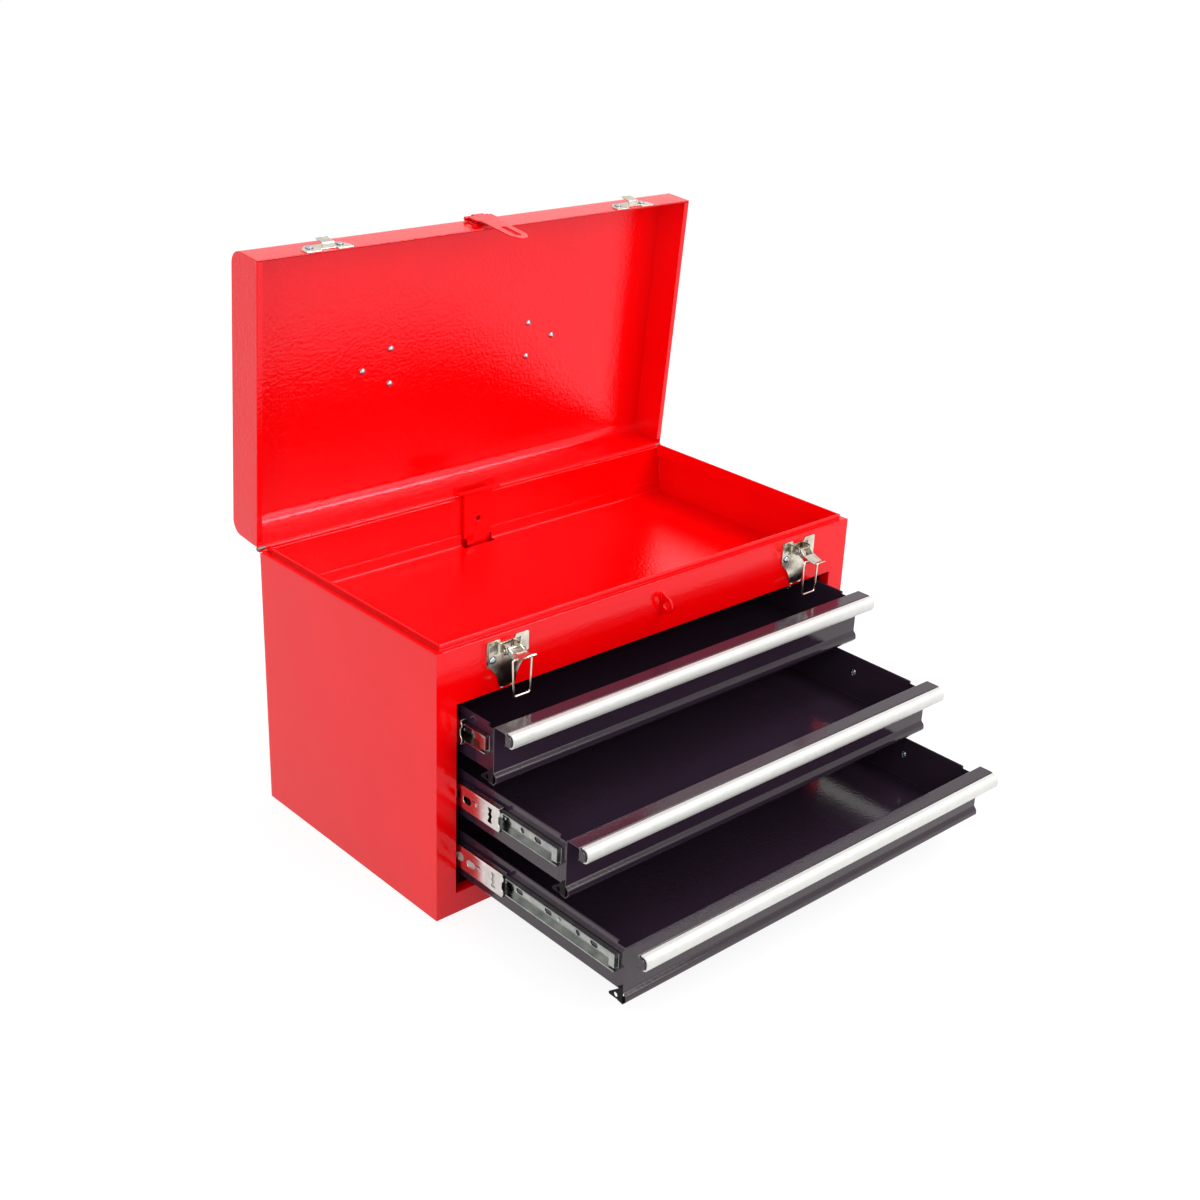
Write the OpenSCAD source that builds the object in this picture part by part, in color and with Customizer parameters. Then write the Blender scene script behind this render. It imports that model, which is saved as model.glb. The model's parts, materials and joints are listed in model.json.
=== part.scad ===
// Portable steel tool chest: a lidded top tray over three drawers on ball bearing slides.
// Origin: centre of the flat underside. +X right, -Y front, +Z up. Millimetres.
// Drawn as it stands open: the lid up and the drawers pulled out in steps.

/* [Case] */
// Outside width of the case
case_width = 520; // [460:1:600]
// Outside depth of the case
case_depth = 276; // [260:1:320]
// Height of the case up to its shoulder
case_height = 264; // [255:1:300]
// Thickness of the steel sheet
sheet = 0.8; // [0.6:0.1:1.2]
// Width of the shoulder that the lid closes down on
shoulder = 7; // [6:0.5:9]
// Height of the hemmed rim above the shoulder
rim_height = 5; // [4:0.5:8]
// Thickness of the hemmed rim
rim_thickness = 2; // [1.6:0.2:2.4]
// Depth of the top tray below the shoulder
tray_depth = 52; // [45:1:56]
// Height of the flange that stands up along the rear edge of the tray floor
floor_flange = 13; // [8:1:18]
// Height of the flange inside the bottom pan
pan_flange = 12; // [8:1:15]

/* [Drawer opening] */
// Width of the front frame's stile on each side of the opening
stile_width = 22; // [20:1:40]
// Height of the rail under the drawers
bottom_rail = 21; // [18:1:30]
// Depth of the flange folded in round the opening
opening_return = 11; // [6:1:14]

/* [Drawers] */
// Gap between a drawer front and the side of the opening
front_side_gap = 5; // [3:0.5:8]
// Gap between two drawer fronts, one above the other
front_gap = 6; // [4:0.5:10]
// Gap above the top drawer front
top_gap = 3.9; // [2.5:0.1:6]
// Gap under the lowest drawer front
lowest_gap = 4; // [2.5:0.5:6]
// Depth of the flat flange along the top of a drawer front
front_flange = 14.6; // [12:0.2:18]
// Height of the pull strip
strip_height = 13.5; // [11:0.5:16]
// Depth of the pull strip
strip_depth = 9; // [7:0.5:11]
// Thickness of the aluminium of the pull strip
strip_wall = 1.4; // [1:0.1:2]
// How far the foot of a drawer front kicks forward
kick_depth = 4; // [2:0.5:5]
// Height of the kicked foot
kick_height = 12; // [8:1:15]
// Height of the drawer pan's floor above the foot of the front
pan_rise = 6; // [4:0.5:10]
// How far the pan's sides stay below the top of the front
pan_drop = 4; // [3:0.5:8]
// Gap between a closed drawer pan and the back of the case
rear_gap = 10; // [9:0.5:20]
// Full travel of a drawer
drawer_travel = 240; // [200:1:245]
// How far the top drawer stands open
open_1 = 44; // [0:1:180]
// How far the middle drawer stands open
open_2 = 140; // [0:1:180]
// How far the bottom drawer stands open
open_3 = 214; // [0:1:200]

/* [Slides] */
// Height of a slide's case member
slide_height = 30; // [28:1:34]
// Thickness of a whole slide
slide_thickness = 10; // [9.5:0.5:12]
// Thickness of the zinc plated steel of the slides
slide_sheet = 1; // [0.8:0.1:1.2]
// Length of a middle member
middle_length = 220; // [200:1:224]
// Diameter of the steel balls
ball_d = 2.2; // [2:0.1:2.6]
// Balls in each row
balls_per_row = 6; // [4:1:8]
// Length of a ball cage
cage_length = 66; // [60:1:70]
// How far the slides lie below the bottom edge of the pull strip
slide_drop = 9.5; // [8:0.5:12]

/* [Lid] */
// Depth of the lid from its rim to its top
lid_height = 42; // [38:1:60]
// Gap between the lid's rim and the shoulder
lid_gap = 1; // [0.5:0.1:2]
// Radius of the lid's front and rear top edges
lid_edge = 13.4; // [8:0.2:16]
// How much wider the lid is than the case at each end
lid_overhang = 1; // [0.5:0.1:2]
// Angle of the open lid from closed
lid_open = 85.2; // [0:0.1:90]
// Width of the flange folded in along the rim of the lid's ends
lid_end_flange = 5; // [3:0.5:5.5]

/* [Hinge] */
// Diameter of the hinge pin
hinge_pin_d = 2; // [1.6:0.1:3]
// Number of hinge knuckles along the case
knuckles = 9; // [5:2:13]
// Height of one hinge leaf
leaf_height = 20; // [14:1:22]

/* [Latches and hasp] */
// Distance of each latch from the end of the case
latch_inset = 75; // [60:1:120]
// Width of a latch base
latch_width = 46; // [40:1:56]
// Length of the wire bail from pivot to cross bar
bail_length = 35; // [33.6:0.1:35.4]
// Diameter of the bail wire
bail_wire = 2; // [1.6:0.1:2.4]
// Angle of the left lever below level
lever_drop_left = 0; // [0:1:19]
// Angle of the right lever below level
lever_drop_right = 19; // [0:1:19]
// Length of the hasp tongue below its hinge
hasp_length = 74; // [68:1:84]
// Width of the hasp at its hinge
hasp_width = 28; // [24:1:36]
// Width of the hasp tongue
tongue_width = 20; // [16:1:22]
// Diameter of the padlock eye in the staple
staple_eye_d = 8; // [6:0.2:8.4]

/* [Handle] */
// Distance between the two legs of the handle
handle_span = 176; // [140:1:260]
// Reach of the handle from its pivot to the middle of the grip
handle_reach = 38; // [34:1:60]
// Diameter of the handle rod
handle_rod = 8; // [6:0.5:10]
// Diameter of the vinyl grip
grip_d = 17; // [13:0.5:18]

/* [Lid lock] */
// Width of the lock plate on the back wall
lock_width = 36; // [30:1:50]
// Width of the bar across the top of the lock plate
lock_bar_width = 52; // [42:1:70]
// How far the closing lid pushes the lock plate down
lock_stroke = 5.5; // [4:0.5:6]

/* [Hidden] */

// Finishes
red = [0.86, 0.02, 0.03];
black = [0.03, 0.03, 0.035];
silver = [0.85, 0.84, 0.81];
nickel = [0.74, 0.70, 0.63];
zinc = [0.72, 0.73, 0.74];

// Clearances
running = 0.05;
part_gap = 0.35;
sliver = 0.01;
bend = 1.2;
half_w = case_width / 2;
front_y = -case_depth / 2;
back_y = case_depth / 2;
back_inner = back_y - sheet;
wall_inner = half_w - sheet;
wrap_bend = 3;
corner_y = back_inner - wrap_bend;

// Heights inside the case
floor_top = case_height - tray_depth;
opening_top = floor_top - 2 * sheet;
opening_half = half_w - stile_width;
pitch = (opening_top - bottom_rail - lowest_gap - top_gap + front_gap) / 3;
front_height = pitch - front_gap;
front_half = opening_half - front_side_gap;
nose_depth = front_flange + strip_depth;
nose_roundness = 6;
gusset_foot = 1.4;
gusset_top = 17;
gusset_depth = 20;
gusset_hole = [9, 5];
gusset_hole_r = 2.2;
opens = [open_1, open_2, open_3];
function front_foot(k) = bottom_rail + lowest_gap + (3 - k) * pitch;
function front_top(k) = front_foot(k) + front_height;
function strip_foot(k) = front_top(k) - strip_height;
function slide_z(k) = strip_foot(k) - slide_drop;

// Slides, measured inwards from the outer face of the case member
slide_half = opening_half - 0.5;
slide_front = front_y + 16;
case_slide_length = case_depth - 31;
drawer_slide_front = front_y + 12;
drawer_slide_length = case_depth - 42;
cage_sheet = 0.4;
cage_at = slide_sheet + part_gap;
middle_at = cage_at + cage_sheet + part_gap;
inner_cage_at = middle_at + slide_sheet + part_gap;
drawer_flange_at = inner_cage_at + cage_sheet + part_gap;
case_flange_z = slide_height / 2;
outer_row_z = case_flange_z - slide_sheet - ball_d / 2;
middle_z = outer_row_z - ball_d / 2;
inner_row_z = middle_z - slide_sheet - ball_d / 2;
drawer_z = inner_row_z - ball_d / 2;
ball_r = ball_d / 2 - running;
outer_ball_at = (middle_at + slide_thickness) / 2;
inner_ball_at = (drawer_flange_at + slide_thickness - 2) / 2 + 0.6;
middle_setbacks = [19, 14, 45];
outer_cage_y = front_y + 90;
inner_cage_y = front_y + 110;
pan_half = slide_half - slide_thickness;

// Drawer pan, closed
pan_front = front_y + sheet;
pan_back = back_y - rear_gap;
screw_setbacks = [86, 214];

// Slide posts
post_width = 24;
post_setback = 30;
post_foot = sheet;
post_rivets = [front_y + post_setback, back_y - post_setback];

// Hinge
pin_r = hinge_pin_d / 2;
knuckle_r = pin_r + running + 1;
hinge_y = back_y + 0.4 + knuckle_r;
hinge_z = case_height + lid_gap;
knuckle_length = case_width / knuckles;
knuckle_gap = 0.4;
leaf_sheet = 1;
stop_knuckles = [1, knuckles - 2];
stop_width = 24;
stop_length = 9;

// Lid, closed
lid_half = half_w + lid_overhang;
lid_front = front_y + 1;
lid_top = hinge_z + lid_height;
lid_hem = 8;
lid_skin = lid_half - sheet;

// Latches, measured from the front of the case
latch_x = half_w - latch_inset;
latch_plate = 1;
latch_face = front_y - latch_plate;
lever_pivot = [front_y - 7, case_height - 13];
bail_pivot_down = [3.5, -14];
lever_half = 7;
ear_half = 8.4;
ear_sheet = 1;
latch_pin_r = 1;
bail_r = bail_wire / 2;
bail_half = 10.5;
bail_foot_half = 9;
joint_fillet = 0.08;
lever_length = 23;
latch_rivet_r = 2.6;
latch_rivet_x = 16.5;
latch_rivet_z = case_height - 22;
latch_rivets = [for (side = [-1, 1]) for (dx = [-1, 1]) [side * latch_x + dx * latch_rivet_x, latch_rivet_z]];

// Catches on the lid
catch_width = 50;
catch_height = 17;
catch_foot = hinge_z + 0.5;
catch_rivet_x = 16;
catch_rivet_z = hinge_z + 11;
catch_rivets = [for (side = [-1, 1]) for (dx = [-1, 1]) [side * latch_x + dx * catch_rivet_x, catch_rivet_z]];
hook_half = 6.3;
bail_lean = asin((front_y - 3 - lever_pivot[0] - bail_pivot_down[0]) / bail_length);
cross_bar = lever_pivot + bail_pivot_down + bail_length * [sin(bail_lean), cos(bail_lean)];

// Hasp
hasp_sheet = 1.2;
hasp_z = hinge_z + 29;
hasp_pin_r = 1;
hasp_roll_r = hasp_pin_r + running + 1;
hasp_y = lid_front - 0.4 - hasp_roll_r;
hasp_leaf_foot = hinge_z + 12;
hasp_rivet_r = 2;
hasp_rivets = [for (dx = [-1, 1]) [dx * 9.5, hasp_leaf_foot + 5]];
tongue_back = front_y - 4;
hasp_lean = asin((front_y - part_gap - tongue_back) / hasp_length);
slot_width = 6;
slot_top = case_height - 10;
slot_foot = case_height - 37;
staple_foot = case_height - 35;
staple_top = case_height - 12;
staple_reach = 14;
staple_fin = 2.4;
staple_eye = [front_y - staple_reach + 7, (staple_foot + staple_top) / 2];

// Handle, on the closed lid
handle_y = 2;
handle_half = handle_span / 2;
grip_lift = 2;
handle_pivot_z = lid_top + grip_d / 2 + grip_lift;
handle_lean = asin((grip_lift - part_gap) / handle_reach);
bracket_sheet = 1.6;
bracket_loop_r = handle_rod / 2 + running + 2;
bracket_inner = handle_half + 6;
bracket_outer = handle_half + 20;
handle_rivets_at = [[handle_half - 1.4, 18], [handle_half - 1.4, -18], [handle_half + 31.3, 0]];

// Lock plate, raised
lock_back = back_inner - 0.5;
lock_front = lock_back - 3.8;
lock_top = hinge_z + 6;
lock_foot = front_foot(3) + 6;
lock_x = -4;
strip_half_width = 12;
hook_drop = 11;
catch_lip_y = pan_back + 3;
lock_slot = lock_width + 3;

// ---------- helpers: bent sheet ----------
function unit(v) = v / norm(v);
function side_of(v) = [-v[1], v[0]];
function reversed(list) = [for (i = [len(list) - 1:-1:0]) list[i]];

// The points of a rounded corner at p, between the directions to a and b.
function corner(p, a, b, r, n) =
    let (u = unit(a - p), w = unit(b - p), c = max(-1, min(1, u * w)))
    c < -0.9999 ? [p] :
    let (half = acos(c) / 2, reach = r / tan(half), centre = p + unit(u + w) * r / sin(half),
         s = p + u * reach - centre, e = p + w * reach - centre, turn = 180 - 2 * half)
    [for (i = [0:n]) centre + (s * sin((1 - i / n) * turn) + e * sin(i / n * turn)) / sin(turn)];

function rounded(path, r, n) =
    let (last = len(path) - 1)
    concat([path[0]],
           [for (i = [1:last - 1]) each corner(path[i], path[i - 1], path[i + 1], r, n)],
           [path[last]]);

function beside(path, d) =
    let (last = len(path) - 1)
    [for (i = [0:last])
        let (before = unit(path[max(i, 1)] - path[max(i, 1) - 1]),
             after = unit(path[min(i, last - 1) + 1] - path[min(i, last - 1)]),
             m = unit(side_of(before) + side_of(after)))
        path[i] + m * d / (m * side_of(before))];

// A strip of sheet of thickness t along a centre line, with its bends rounded.
module bent_sheet(path, t, r = bend, n = 3) {
    line = rounded(path, r, n);
    polygon(concat(beside(line, t / 2), reversed(beside(line, -t / 2))));
}

// Sweeps a Y-Z outline along X, and an X-Z outline along Y.
module along_x(length) rotate([90, 0, 90]) linear_extrude(length, center = true) children();
module along_y(length) rotate([90, 0, 0]) linear_extrude(length, center = true) children();

// Boxes by their lowest and highest corners.
module block(low, high) translate(low) cube(high - low);

module rod_x(x0, x1, y, z, r, fn = 32)
    translate([x0, y, z]) rotate([0, 90, 0]) cylinder(h = x1 - x0, r = r, $fn = fn);

// A round bar between two points.
module bar(a, b, r, fn = 24) {
    v = b - a;
    translate(a) rotate([0, acos(v[2] / norm(v)), atan2(v[1], v[0])])
        cylinder(h = norm(v), r = r, $fn = fn);
}

module both_sides() {
    children();
    mirror([1, 0, 0]) children();
}

// Carries what is drawn on the closed lid to the open lid.
module on_open_lid()
    translate([0, hinge_y, hinge_z]) rotate([-lid_open, 0, 0]) translate([0, -hinge_y, -hinge_z]) children();

// Carries what is drawn closed to where the drawer stands.
module on_drawer(k) translate([0, -opens[k - 1], 0]) children();

// ---------- case ----------
// Sides and back from one sheet, with a shoulder and a hemmed rim along each side.
module case_wrap() color(red) {
    difference() {
        linear_extrude(case_height)
            bent_sheet([[-half_w + sheet / 2, front_y + sheet], [-half_w + sheet / 2, back_y - sheet / 2],
                        [half_w - sheet / 2, back_y - sheet / 2], [half_w - sheet / 2, front_y + sheet]],
                       sheet, wrap_bend, 4);
        block([-half_w - 1, back_inner - 4, case_height - sliver], [half_w + 1, back_y + 1, case_height + 1]);
    }
    both_sides() {
        block([half_w - shoulder, front_y + shoulder, case_height - sheet],
              [wall_inner + sliver, corner_y, case_height]);
        block([half_w - shoulder - rim_thickness, front_y + shoulder, case_height - sheet],
              [half_w - shoulder + sliver, corner_y, case_height + rim_height]);
    }
}

// The bottom: a shallow pan welded in between the walls.
module bottom_pan() color(red) difference() {
    block([-wall_inner, front_y + sheet, 0], [wall_inner, corner_y, pan_flange]);
    block([-wall_inner + sheet, front_y + 2 * sheet, sheet],
          [wall_inner - sheet, corner_y - sheet, pan_flange + 1]);
}

// The front with its drawer opening, shoulder and rim.
module front_frame() color(red) {
    difference() {
        block([-half_w, front_y, 0], [half_w, front_y + sheet, case_height]);
        block([-opening_half, front_y - 1, bottom_rail], [opening_half, front_y + 2, opening_top]);
        rivet_holes(latch_rivets, front_y, latch_rivet_r);
    }
    difference() {
        block([-opening_half - sheet, front_y + sheet - sliver, bottom_rail - sheet],
              [opening_half + sheet, front_y + opening_return, opening_top + sheet]);
        block([-opening_half, front_y - 1, bottom_rail],
              [opening_half, front_y + opening_return + 1, opening_top]);
    }
    block([-wall_inner, front_y + sheet - sliver, case_height - sheet],
          [wall_inner, front_y + shoulder, case_height]);
    block([-half_w + shoulder, front_y + shoulder - rim_thickness, case_height - sheet],
          [half_w - shoulder, front_y + shoulder, case_height + rim_height]);
}

// Floor of the top tray, notched where the lock plate passes down through it.
module tray_floor() color(red) difference() {
    along_x(2 * wall_inner)
        bent_sheet([[front_y + sheet, floor_top - sheet / 2], [back_inner - sheet / 2, floor_top - sheet / 2],
                    [back_inner - sheet / 2, floor_top + floor_flange]], sheet, bend, 3);
    block([lock_x - lock_slot / 2, lock_front - 4, floor_top - 4],
          [lock_x + lock_slot / 2, back_y, floor_top + floor_flange + 1]);
    both_sides() block([wall_inner - wrap_bend, corner_y, floor_top - 4],
                       [half_w, back_y, floor_top + floor_flange + 1]);
}

// Four channel posts that carry the slides between the pan and the tray floor.
module slide_posts() color(red) both_sides() for (y = post_rivets)
    difference() {
        block([slide_half, y - post_width / 2, post_foot],
              [wall_inner - sheet, y + post_width / 2, floor_top - sheet]);
        block([slide_half + sheet, y - post_width / 2 + sheet, 0],
              [wall_inner, y + post_width / 2 - sheet, floor_top + 1]);
        for (k = [1:3]) rod_x(slide_half - 3, slide_half + 3, y, slide_z(k), 2.1, 24);
    }

// Knuckles that belong to one leaf: first is 0 for the case, 1 for the lid.
module knuckle_row(first) for (i = [first:2:knuckles - 1])
    rod_x(-half_w + i * knuckle_length + knuckle_gap / 2, -half_w + (i + 1) * knuckle_length - knuckle_gap / 2,
          hinge_y, hinge_z, knuckle_r, 40);

module knuckle_tabs(first, z0, z1) for (i = [first:2:knuckles - 1])
    block([-half_w + i * knuckle_length + knuckle_gap / 2, back_y, z0],
          [-half_w + (i + 1) * knuckle_length - knuckle_gap / 2, back_y + leaf_sheet, z1]);

module pin_hole() rod_x(-half_w - 1, half_w + 1, hinge_y, hinge_z, pin_r + running, 40);

// Rear leaf of the piano hinge, welded to the back of the case.
module hinge_leaf_case() color(red) difference() {
    union() {
        knuckle_row(0);
        knuckle_tabs(0, hinge_z - knuckle_r - part_gap - sliver, hinge_z);
        block([-half_w, back_y, hinge_z - leaf_height], [half_w, back_y + leaf_sheet, hinge_z - knuckle_r - part_gap]);
    }
    pin_hole();
    for (i = stop_knuckles) stop_notch(i);
}

module stop_notch(i) {
    middle = -half_w + (i + 0.5) * knuckle_length;
    block([middle - stop_width / 2 - 1, back_y - 1, hinge_z - stop_length - 2],
          [middle + stop_width / 2 + 1, back_y + leaf_sheet + 1, hinge_z]);
}

module hinge_pin() color(zinc) rod_x(-half_w, half_w, hinge_y, hinge_z, pin_r, 40);

// Padlock staple: a fin welded upright to the front, with an eye.
module padlock_staple() color(red) difference() {
    translate([0, 0, staple_eye[1]]) along_x(staple_fin) staple_outline();
    rod_x(-5, 5, staple_eye[0], staple_eye[1], staple_eye_d / 2, 48);
}

// Outline of the fin: tall at the case, round at its nose.
module staple_outline() {
    nose_r = 8;
    half_h = (staple_top - staple_foot) / 2;
    arc = [for (i = [0:12]) [front_y - staple_reach + nose_r - nose_r * sin(i * 15),
                             nose_r * cos(i * 15)]];
    polygon(concat([[front_y, half_h]], arc, [[front_y, -half_h]]));
}

// ---------- draw latches ----------
// Base plate seen from the front: two wings over a tapering tail.
module latch_base(side) color(nickel) translate([side * latch_x, 0, 0]) {
    half = latch_width / 2;
    wing_foot = case_height - 26;
    tail_foot = case_height - 51;
    tail = [for (i = [0:8]) [8 + (half - 8) * pow(1 - i / 8, 2.2), wing_foot + (tail_foot - wing_foot) * i / 8]];
    outline = concat([[half, case_height - 4]], tail, [for (p = reversed(tail)) [-p[0], p[1]]],
                     [[-half, case_height - 4]]);
    difference() {
        translate([0, front_y - latch_plate / 2, 0]) along_y(latch_plate) polygon(outline);
        block([-ear_half, front_y - 5, case_height - 7.5], [ear_half, front_y + 1, case_height]);
        both_sides() block([ear_half - ear_sheet - 2.6, front_y - 5, lever_pivot[1] - 5],
                           [ear_half - ear_sheet, front_y + 1, lever_pivot[1] + 5]);
        rivet_holes([[-latch_rivet_x, latch_rivet_z], [latch_rivet_x, latch_rivet_z]], front_y, latch_rivet_r);
    }
    both_sides() difference() {
        block([ear_half - ear_sheet, lever_pivot[0] - 3.5, lever_pivot[1] - 4.5],
              [ear_half, front_y - sliver, lever_pivot[1] + 4.5]);
        rod_x(0, 12, lever_pivot[0], lever_pivot[1], latch_pin_r + sliver, 32);
    }
}

module latch_base_left() latch_base(-1);
module latch_base_right() latch_base(1);

module latch_pins() color(nickel) for (side = [-1, 1])
    rod_x(side * latch_x - ear_half, side * latch_x + ear_half, lever_pivot[0], lever_pivot[1], latch_pin_r, 32);

// Holes through everything near y for rivets of head radius r.
module rivet_holes(points, y, r) for (p = points)
    translate([p[0], y, p[1]]) rotate([90, 0, 0]) cylinder(h = 8, r = r * 0.55 + 0.1, center = true, $fn = 24);

// Dome headed rivet, turned in one piece: its head stands out along -Y from y.
module rivet_y(x, y, z, r, shank) {
    dome = [for (i = [0:5]) [r * cos(i * 16), r * 0.62 * sin(i * 16) / sin(80)]];
    translate([x, y, z]) rotate([90, 0, 0]) rotate_extrude($fn = 32)
        polygon(concat([[0, -shank - 0.8], [r * 0.8, -shank - 0.8], [r * 0.8, -shank], [r * 0.55, -shank],
                        [r * 0.55, 0]], dome, [[0, r * 0.62]]));
}

module case_rivets() color(zinc) {
    for (p = latch_rivets) rivet_y(p[0], latch_face, p[1], latch_rivet_r, latch_plate + sheet);
    for (z = lock_guides) translate([lock_x, 0, z]) rotate([90, 0, 0]) {
        translate([0, 0, -back_inner]) cylinder(h = back_inner - lock_front + part_gap, r = 1.8, $fn = 24);
        translate([0, 0, -lock_front + part_gap]) cylinder(h = 1, r = 4, $fn = 32);
    }
}

// The lever as it lies closed, then swung up until it stands drop below level.
// The thumb plate begins below the pin, between two cheeks; the bail turns in an eye of the cheeks.
module lever(side, drop) color(nickel) translate([side * latch_x, lever_pivot[0], lever_pivot[1]])
    rotate([drop - 90, 0, 0]) difference() {
        union() {
            along_x(2 * lever_half)
                bent_sheet([[0.5, -8.5], [0.5, -lever_length], [-2.5, -lever_length - 3.5]], 1, 1.5, 4);
            both_sides() translate([lever_half - 0.5, 0, 0]) along_x(1)
                polygon([[-3.4, -1.6], [-3.4, 1.6], [-1.6, 3.4], [1.6, 3.4], [3.4, 1.6], [5.5, -12.8], [5.5, -15.2],
                         [4.3, -16.4], [1, -16.8], [-0.2, -16.8], [-0.2, -9]]);
        }
        rod_x(-9, 9, 0, 0, latch_pin_r + running, 32);
        rod_x(-9, 9, bail_pivot_down[0], bail_pivot_down[1], bail_r + running, 32);
    }

module lever_left() lever(-1, lever_drop_left);
module lever_right() lever(1, lever_drop_right);

// Where the bail's pivot goes when the lever stands drop below level.
function bail_pivot(drop) =
    let (a = 90 - drop, p = bail_pivot_down)
    [lever_pivot[0] + p[0] * cos(a) + p[1] * sin(a), lever_pivot[1] - p[0] * sin(a) + p[1] * cos(a)];

// Wire bail hanging straight down; its ends turn in through the lever's cheeks.
module bail(side, drop) color(nickel) {
    p = bail_pivot(drop);
    translate([side * latch_x, p[0], p[1]]) {
        both_sides() {
            bar([lever_half - 1.6, 0, 0], [bail_half, 0, 0], bail_r);
            translate([bail_half, 0, 0]) sphere(r = bail_r + joint_fillet, $fn = 24);
            bar([bail_half, 0, 0], [bail_foot_half, 0, -bail_length], bail_r);
            translate([bail_foot_half, 0, -bail_length]) sphere(r = bail_r + joint_fillet, $fn = 24);
        }
        bar([-bail_foot_half, 0, -bail_length], [bail_foot_half, 0, -bail_length], bail_r);
    }
}

module bail_left() bail(-1, lever_drop_left);
module bail_right() bail(1, lever_drop_right);

// ---------- slides ----------
// A channel with its web at u0 and its flanges at z, reaching to u1. Open inwards, or outwards if turned.
module slide_channel(u0, u1, z, y0, length, web_inside = false) {
    x_outer = slide_half - u0;
    x_inner = slide_half - u1;
    web_x = web_inside ? x_inner : x_outer - slide_sheet;
    block([web_x, y0, -z], [web_x + slide_sheet, y0 + length, z]);
    for (s = [-1, 1])
        block([x_inner, y0, s > 0 ? z - slide_sheet : -z], [x_outer, y0 + length, s > 0 ? z : -z + slide_sheet]);
}

module case_slides(k) color(zinc) both_sides() translate([0, 0, slide_z(k)]) difference() {
    slide_channel(0, slide_thickness - 1.5, case_flange_z, slide_front, case_slide_length);
    for (y = post_rivets) rod_x(slide_half - 3, slide_half + 3, y, 0, 2.1, 24);
}

module case_slides_1() case_slides(1);
module case_slides_2() case_slides(2);
module case_slides_3() case_slides(3);

function middle_front(k) = front_y + middle_setbacks[k - 1] - opens[k - 1] / 2;

// Middle member: hooked slot, bow tie slot and waisted front end as pressed in the real one.
module middle_slides(k) color(zinc) both_sides() translate([0, 0, slide_z(k)]) difference() {
    slide_channel(middle_at, slide_thickness - 2, middle_z, middle_front(k), middle_length);
    web_x = slide_half - middle_at - slide_sheet / 2;
    for (cut = [[10, 3.2, 12], [28, 6, 10], [46, 8, 8]])
        block([web_x - 1, middle_front(k) + cut[0], -cut[2] / 2],
              [web_x + 1, middle_front(k) + cut[0] + cut[1], cut[2] / 2]);
}

module middle_slides_1() middle_slides(1);
module middle_slides_2() middle_slides(2);
module middle_slides_3() middle_slides(3);

module drawer_slides(k) color(zinc) on_drawer(k) both_sides() translate([0, 0, slide_z(k)]) difference() {
    slide_channel(drawer_flange_at, slide_thickness, drawer_z, drawer_slide_front, drawer_slide_length, true);
    for (y = screw_setbacks) screw_shank(front_y + y, 1.8);
}

module drawer_slides_1() drawer_slides(1);
module drawer_slides_2() drawer_slides(2);
module drawer_slides_3() drawer_slides(3);

// One cage on each side with its balls: two strips joined by a thin web.
module cages(k, u, row_z, ball_u, y0) color("gainsboro") both_sides() translate([0, 0, slide_z(k)]) {
    step = cage_length / balls_per_row;
    difference() {
        union() {
            block([slide_half - u - cage_sheet, y0, -row_z - 0.3], [slide_half - u, y0 + cage_length, row_z + 0.3]);
            for (s = [-1, 1]) block([slide_half - ball_u - 1.7, y0, s * row_z - 0.3],
                                    [slide_half - u, y0 + cage_length, s * row_z + 0.3]);
        }
        for (s = [-1, 1]) for (i = [0:balls_per_row - 1])
            translate([slide_half - ball_u, y0 + (i + 0.5) * step, s * row_z])
                cylinder(h = 2, r = ball_r + 0.1, center = true, $fn = 20);
    }
    for (s = [-1, 1]) for (i = [0:balls_per_row - 1])
        translate([slide_half - ball_u, y0 + (i + 0.5) * step, s * row_z]) sphere(r = ball_r, $fn = 20);
}

module outer_cages(k) cages(k, cage_at, outer_row_z, outer_ball_at, outer_cage_y - opens[k - 1] / 4);
module inner_cages(k) cages(k, inner_cage_at, inner_row_z, inner_ball_at, inner_cage_y - opens[k - 1] * 3 / 4);
module outer_cages_1() outer_cages(1);
module outer_cages_2() outer_cages(2);
module outer_cages_3() outer_cages(3);
module inner_cages_1() inner_cages(1);
module inner_cages_2() inner_cages(2);
module inner_cages_3() inner_cages(3);

// Flush rivets that hold the case members to the posts.
module slide_rivets() color(zinc) both_sides() for (k = [1:3])
    for (y = post_rivets) {
        rod_x(slide_half - slide_sheet, slide_half + sheet + 0.2, y, slide_z(k), 2, 24);
        rod_x(slide_half + sheet, slide_half + sheet + 1, y, slide_z(k), 3.4, 24);
    }

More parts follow.
